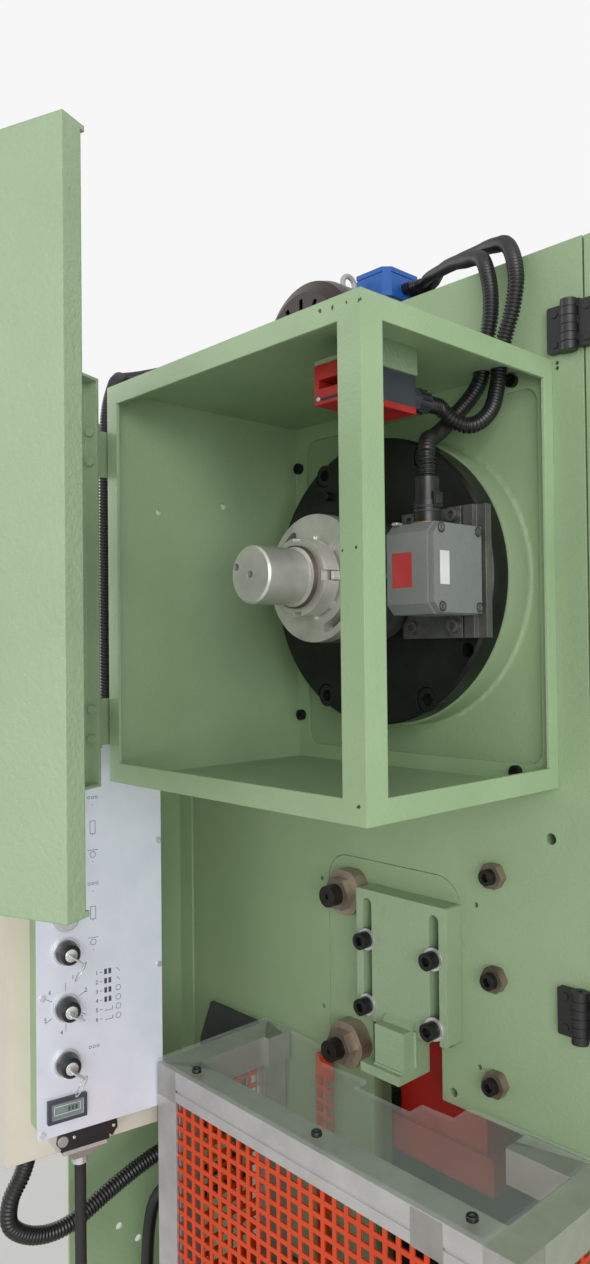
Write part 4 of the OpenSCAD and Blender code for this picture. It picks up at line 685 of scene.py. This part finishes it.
def makeNumbers(user):
    # one to six round the selector, and down the table beside it
    across, up = user["numbersOut"]
    spots = []
    for k in range(user["places"]):
        u = user["switchAlong"] - 1.5 + across * math.cos(math.radians(78 - 60 * k)) + (3 if k == 0 else 0)
        spots.append((u, user["selector"] + up * math.sin(math.radians(84 - 60 * k)), str(k + 1)))
    for k in range(user["places"]):
        spots.append((user["tableAlong"], user["tableTop"] - k * user["tableStep"] - 2, str(k + 1)))
    whole = bmesh.new()
    for u, z, text in spots:
        data = bpy.data.curves.new("number", "FONT")
        data.body = text
        data.size = user["numberSize"] * mm
        data.extrude = user["thick"] * mm / 2
        data.resolution_u = 2
        thing = bpy.data.objects.new("number", data)
        bpy.context.scene.collection.objects.link(thing)
        bpy.context.view_layer.update()
        mesh = bpy.data.meshes.new_from_object(thing.evaluated_get(bpy.context.evaluated_depsgraph_get()))
        origin = onPanel(user["thick"] / 2, u, z)
        along = (onPanel(0, 1, 0) - onPanel(0, 0, 0)).normalized()
        mesh.transform(Matrix((along, Vector((0, 0, 1)), along.cross(Vector((0, 0, 1))))).transposed().to_4x4())
        mesh.transform(Matrix.Translation(origin))
        whole.from_mesh(mesh)
        bpy.data.objects.remove(thing)
    mesh = bpy.data.meshes.new("plate_numbers")
    whole.to_mesh(mesh)
    mesh.materials.append(ink)
    piece = bpy.data.objects.new("plate_numbers", mesh)
    bpy.context.scene.collection.objects.link(piece)
    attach(piece, "frame")


makeMarks(plateMarks)
makeNumbers(plateMarks)

# Key switches: black collar, steel lock face, key with its bow and ring
keyUser = {"collar": 12.4, "collarFrom": 5.5, "collarLength": 15.5, "lock": 7.0, "along": 32, "neck": 8.9,
           "blade": ((-3.6, -0.9), (3.6, -0.9), (3.6, 0.9), (-3.6, 0.9)), "bladeEnd": 9, "bowEnd": 21, "bowWider": 2.3,
           "keys": {"key_rotor_top": ("key_top", -193.6, 35, True), "selector_rotor": ("selector", -254.8, 25, False),
                    "key_rotor_bottom": ("key_bottom", -314.9, 35, True)}}


def makeKeySwitch(node, body, z, lean, hasRing, user):
    make = Maker(onPanel)
    u, start, neck, wider = user["along"], user["collarFrom"], user["neck"], user["bowWider"]
    tip = start + user["collarLength"] - 1
    collar, lock = user["collar"], user["lock"]
    make.turned([(2.3, 0), (2.3, neck), (start, neck), (start, collar), (start + 2, collar + 0.4),
                 (tip - 1.5, collar - 1.6), (tip, collar - 3.4), (tip, lock + 0.6), (tip - 1.2, lock + 0.5),
                 (tip - 1.2, 0)], (0, u, z), (1, 0, 0), blackPlastic, 48)
    make.turned([(tip - 1.3, 0), (tip - 1.3, lock), (tip + 0.3, lock), (tip + 0.6, lock - 0.5), (tip + 0.6, 0)],
                (0, u, z), (1, 0, 0), chrome, 32)
    c, s = math.cos(math.radians(lean)), -math.sin(math.radians(lean))
    blade = [(u + a * c - b * s, z + a * s + b * c) for a, b in user["blade"]]
    make.prism(blade, tip + 0.4, tip + user["bladeEnd"], chrome, "yz")
    bow = [(u + a * wider * c - b * s, z + a * wider * s + b * c) for a, b in user["blade"]]
    make.prism(bow, tip + user["bladeEnd"], tip + user["bowEnd"], chrome, "yz")
    if hasRing:
        make.hoop((tip + 17, u + 5 * c, z + 5 * s - 10), (0.35, c, s), 11, 0.6, chrome)
    return make.done(node + "_key", body, 0.25, replaces=(node,))


for node, (body, z, lean, hasRing) in keyUser["keys"].items():
    makeKeySwitch(node, body, z, lean, hasRing, keyUser)
print("control plate dressed")

# Crank end: thread in front of the locknut, and the washer's tab bent into the nut's slot
crankUser = {"threadFrom": -175.4, "threadTo": -170.4, "pitch": 1.25, "core": 29.0, "low": 30.05, "high": 30.7,
             "tab": (36.4, 39.6), "tabAlong": (-160, -151), "tabHalf": 4.2}


def makeThread(user):
    make = Maker()
    profile = [(0, user["core"])]
    reach = user["threadTo"] - user["threadFrom"]
    count = int(reach / user["pitch"])
    for k in range(count):
        profile += [(k * user["pitch"] + 0.1, user["low"]), ((k + 0.5) * user["pitch"], user["high"])]
    profile += [(reach, user["low"]), (reach, user["core"])]
    make.turned(profile, (0, user["threadFrom"], crankZ), (0, 1, 0), brownSteel, 64)
    make.block(*user["tab"], *user["tabAlong"], crankZ - user["tabHalf"], crankZ + user["tabHalf"], turnedSteel)
    return make.done("thread_and_tab", "crank", 0.2, angle=20)


makeThread(crankUser)

# Cam switch: plain stickers, sunk screws in the lid, brass gasket, latch on the connector
plainRedUser = {"colour": srgb(186, 62, 62), "shade": srgb(170, 48, 50), "rough": 0.45}
plainWhiteUser = {"colour": srgb(224, 226, 226), "shade": srgb(208, 211, 212), "rough": 0.4}
plainSilverUser = {**aluminiumUser, "colour": srgb(176, 172, 168), "shade": srgb(150, 147, 144), "rough": 0.3}
plainRed = mouldedPlastic("plainRed", plainRedUser)
plainWhite = mouldedPlastic("plainWhite", plainWhiteUser)
plainSilver = machinedSteel("plainSilver", plainSilverUser)
whiteSticker = [(-139, 191), (-125.5, 191), (-125.5, 221), (-139, 221)]
redSticker = [(103.5, 189), (126.5, 189), (126.5, 220.5), (103.5, 220.5)]
switchUser = {"lidX": 150.0, "screws": ((-137.5, 241), (-83, 241), (-137, 171.5), (-82, 171.5)), "screw": 3.9,
              "connector": (123, -122), "gasketZ": 247.6, "gasket": [(-0.5, 13.5), (-0.5, 15), (1.2, 15), (1.2, 13.5)],
              "clampsZ": (258, 262), "clamp": [(0, 12), (0, 13.2), (2, 13.2), (2, 12)],
              "stickers": ((whiteSticker, 149.95, 150.2, plainWhite, "yz"),
                           (redSticker, -149.2, -148.9, plainRed, "xz"))}


def sunkScrew(make, place, towards, radius, finish):
    # a countersunk screw: a dark ring round it, painted shade in the gap, and a domed ring with a recess
    paintedGapShade = [(-0.4, 0), (-0.4, radius + 0.7), (0.12, radius + 0.7), (0.12, radius)]
    head = [(0.1, radius), (0.45, radius - 0.3), (0.55, radius * 0.45), (0.2, radius * 0.4), (0.2, 0)]
    make.turned(paintedGapShade, place, towards, blackSteel, 28)
    make.turned(head, place, towards, finish, 28)


def makeSwitchTrim(user):
    make = Maker()
    for y, z in user["screws"]:
        sunkScrew(make, (user["lidX"] + 1.25, y, z), (1, 0, 0), user["screw"], darkSteel)
    for outline, low, high, finish, plane in user["stickers"]:
        make.prism(outline, low, high, finish, plane)
    make.turned(user["gasket"], (*user["connector"], user["gasketZ"]), (0, 0, 1), bronze, 32)
    make.block(101, 107, -146, -138, 246.5, 249, turnedSteel)
    make.block(133.6, 136.4, -128, -116, 262, 276, blackPlastic)
    make.block(136, 137.2, -125, -119, 265, 273, darkPlastic)
    for z in user["clampsZ"]:
        make.turned(user["clamp"], (*user["connector"], z), (0, 0, 1), darkPlastic, 24)
    return make.done("cam_switch_trim", "frame", 0.25)


makeSwitchTrim(switchUser)

# Interlock: screws in the red head, ribs on the conduit's nut
interlockUser = {"frontY": -222.0, "x": (80.0, 120.0), "low": 347.0, "nut": (110, 364), "nutRound": 10.2, "ribs": 10}


def makeInterlockTrim(user):
    make = Maker()
    for x in (user["x"][0] + 4.5, user["x"][1] - 4.5):
        sunkScrew(make, (x, user["frontY"] - 0.1, user["low"] + 5), (0, -1, 0), 2.4, chrome)
    make.block(user["x"][0] + 8, user["x"][1] - 8, user["frontY"] - 0.25, user["frontY"] + 1, 350, 352.5, blackPlastic)
    for k in range(user["ribs"]):
        turn = 2 * math.pi * k / user["ribs"]
        cx = user["nut"][0] + user["nutRound"] * math.cos(turn)
        cz = user["nut"][1] + user["nutRound"] * math.sin(turn)
        make.block(cx - 1, cx + 1, -121, -108, cz - 1, cz + 1, darkPlastic)
    return make.done("interlock_trim", "frame", 0.2)


makeInterlockTrim(interlockUser)

# Weld beads: a ribbed run of metal laid in a seam and painted over
beadUser = {"pitch": 2.6, "ripple": 0.16, "sides": 10}


def bead(name, line, width, finish, body):
    points = smooth([at(*p) for p in line], 6)
    outer = width * mm / 2
    sizes = {"Outer": outer, "Inner": outer * (1 - beadUser["ripple"]), "Pitch": beadUser["pitch"] * mm,
             "Sides": beadUser["sides"]}
    piece = grow(name, curveObject(name, [points]), corrugated, sizes, finish, body)
    return piece


bracketBeads = {"bracket_bead": ([(-17, -26.5, -268.4), (0, -26, -267.6), (17, -26.5, -268.4)], 9),
                "bracket_side_bead": ([(20.4, -26, -270), (20.6, -26, -290), (20.4, -26, -308)], 5),
                "bracket_foot_bead": ([(-20, -44.4, -310.3), (0, -44.6, -310.3), (19.5, -44.4, -310.3)], 4.5)}
for name, (line, width) in bracketBeads.items():
    bead(name, line, width, greenPaintedShade, "stop_bracket")

# Tool guard: corner blocks, white stand-offs and screws under the clear sheet, plain foil
guardUser = {"half": 243.0, "front": -171.0, "post": 35.0, "low": -376.5, "top": -341.0, "proud": 0.35,
             "screws": ((-183, -160), (5, -157), (188, -157)), "sheetTop": -336.0,
             "head": [(0, 0), (0, 5.4), (3.2, 5.4), (4.4, 4.6), (4.6, 2.6), (2.6, 2.6), (2.6, 0)]}
cornerMetalUser = {**aluminiumUser, "colour": srgb(186, 184, 180), "shade": srgb(160, 158, 154), "rough": 0.42,
                   "grain": (200, 200, 200)}
cornerMetal = machinedSteel("cornerMetal", cornerMetalUser)


def makeGuardTrim(user):
    make = Maker()
    h, f, w, e = user["half"], user["front"], user["post"], user["proud"]
    for side in (-1, 1):
        x0, x1 = sorted((side * (h + e), side * (h - w)))
        make.block(x0, x1, f - e, f + w, user["low"], user["top"] - 0.2, cornerMetal)
    for x, y in user["screws"]:
        make.block(x - 8, x + 8, y - 1, y + 10, user["top"] - 12, user["top"] - 0.3, plainWhite)
        make.turned(user["head"], (x, y, user["sheetTop"]), (0, 0, 1), blackSteel, 28)
    make.block(133, 168.5, f - 0.25, f + 0.5, user["low"] + 0.5, user["top"] - 1, plainSilver)
    make.block(-h - 0.4, -h + 0.2, f + 12, f + 24, -470, -420, plainWhite)
    return make.done("guard_corner_blocks", "frame", 0.4)


makeGuardTrim(guardUser)

# Connector under the control plate: housing with its lever, faceted hood, ring and boot
plugUser = {"n": (-36, -8), "u": (22, 92), "hood": 54}


def makePlug(user):
    make = Maker(onPanel)
    (n0, n1), (u0, u1) = user["n"], user["u"]
    make.block(n0 - 1, n1 + 1, u0 + 6, u1 - 8, -416, -391.6, blackPlastic)
    lever = [(u0 + 2, -394), (u1, -394), (u1 + 1, -404), (u1 - 6, -412), (u1 - 12, -406), (u0 + 12, -406),
             (u0 + 6, -412), (u0, -404)]
    make.prism(lever, n1 + 1, n1 + 4, blackPlastic, "yz")
    make.turned([(0, 0), (0, 6), (5, 6), (5, 0)], (n1 + 1, u0 + 7, -402), (1, 0, 0), cornerMetal, 24)
    for u in (u0 + 20, u1 - 4):
        make.turned([(0, 0), (0, 1.8), (4, 1.8), (4, 0)], (n1 + 1, u, -401), (1, 0, 0), chrome, 16)
    hood = [(u0 + 12, -416), (u1 - 14, -416), (u1 - 22, -426), (user["hood"] + 10, -430), (user["hood"] - 10, -430),
            (u0 + 16, -424)]
    make.prism(hood, n0 + 3, n1 - 3, plainSilver, "yz")
    return make.done("plug_housing", "frame", 0.6)


makePlug(plugUser)

# Counter: slate bezel, lit glass with plain segments
counterUser = {"u": (10.2, 53.8), "z": (-376.3, -351.7), "depth": 5.2, "rim": 4, "digits": 3, "digitStep": 4}
displayGlassUser = {"colour": srgb(124, 138, 134), "shade": srgb(108, 122, 118), "rough": 0.12, "bump": 0.0}
displayGlass = mouldedPlastic("displayGlass", displayGlassUser)


def makeCounter(user):
    make = Maker(onPanel)
    (u0, u1), (z0, z1) = user["u"], user["z"]
    d, r = user["depth"], user["rim"]
    for box in ((u0, u1, z1 - r, z1), (u0, u1, z0, z0 + r), (u0, u0 + r, z0 + r, z1 - r), (u1 - r, u1, z0 + r, z1 - r)):
        make.block(0.05, d, *box, slatePlastic)
    make.block(0.05, d - 2, u0 + r, u1 - r, z0 + r, z1 - r, displayGlass)
    for box in ((u0 + 7, u1 - 7, z1 - 8, z1 - 7.4), (u0 + 7, u1 - 7, z0 + 8, z0 + 8.6),
                (u0 + 7, u0 + 7.6, z0 + 8, z1 - 8), (u1 - 7.6, u1 - 7, z0 + 8, z1 - 8)):
        make.block(d - 2.1, d - 1.8, *box, plainWhite)
    for k in range(user["digits"]):
        left = u1 - 13 - user["digitStep"] * k
        make.block(d - 2.1, d - 1.8, left, left + 2.5, z0 + 10, z1 - 10, ink)
    return make.done("counter", "frame", 0.5)


makeCounter(counterUser)
print("small pieces made")

# Stage: pale floor, soft lamps
stageUser = {"floor": srgb(216, 215, 212), "floorShade": srgb(206, 205, 202), "floorHalf": 9, "floorZ": -0.001,
             "sky": (1.0, 1.0, 1.0, 1), "fill": 0.62, "seen": 0.93, "aim": (0, -0.2, 1.2),
             "lamps": {"key": ((2.7, -2.6, 1.95), 2.2, 74), "front": ((0.6, -4.2, 2.2), 3.0, 16),
                       "left": ((-3.8, -1.4, 2.6), 2.6, 36)}}


def makeStage(user):
    mesh = bpy.data.meshes.new("floor")
    half, low = user["floorHalf"], user["floorZ"]
    corners = [(-half, -half, low), (half, -half, low), (half, half, low), (-half, half, low)]
    mesh.from_pydata(corners, [], [(0, 1, 2, 3)])
    floor = bpy.data.objects.new("floor", mesh)
    bpy.context.scene.collection.objects.link(floor)
    sheet = Sheet("floorPaint")
    cloud = sheet.ramp(sheet.noise(3.0), 0.4, 0.6, 0.0, 0.2)
    sheet.set(Base_Color=sheet.mix(cloud, user["floor"], user["floorShade"]), Roughness=0.8)
    mesh.materials.append(sheet.material)
    world = bpy.data.worlds.new("studio")
    bpy.context.scene.world = world
    world.use_nodes = True
    # the sky is brighter to the camera, in glass and in gloss than as a lamp
    tree = world.node_tree
    back = tree.nodes["Background"]
    rays = addNode(tree, "ShaderNodeLightPath", {}, {}).outputs
    other = addNode(tree, "ShaderNodeMath", {0: rays["Is Transmission Ray"], 1: rays["Is Glossy Ray"]},
                    {"operation": "MAXIMUM"})
    seen = addNode(tree, "ShaderNodeMath", {0: rays["Is Camera Ray"], 1: other.outputs[0]}, {"operation": "MAXIMUM"})
    strength = addNode(tree, "ShaderNodeMapRange", {"Value": seen.outputs[0], "To Min": user["fill"],
                                                    "To Max": user["seen"]}, {})
    tree.links.new(strength.outputs[0], back.inputs["Strength"])
    back.inputs["Color"].default_value = user["sky"]
    for name, (place, size, power) in user["lamps"].items():
        lamp = bpy.data.lights.new(name, "AREA")
        lamp.size = size
        lamp.energy = power
        thing = bpy.data.objects.new(name, lamp)
        bpy.context.scene.collection.objects.link(thing)
        aim = (Vector(user["aim"]) - Vector(place)).to_track_quat("-Z", "Y")
        thing.matrix_world = Matrix.Translation(place) @ aim.to_matrix().to_4x4()
    bpy.context.scene.view_settings.view_transform = "Standard"


makeStage(stageUser)
print("stage lit")
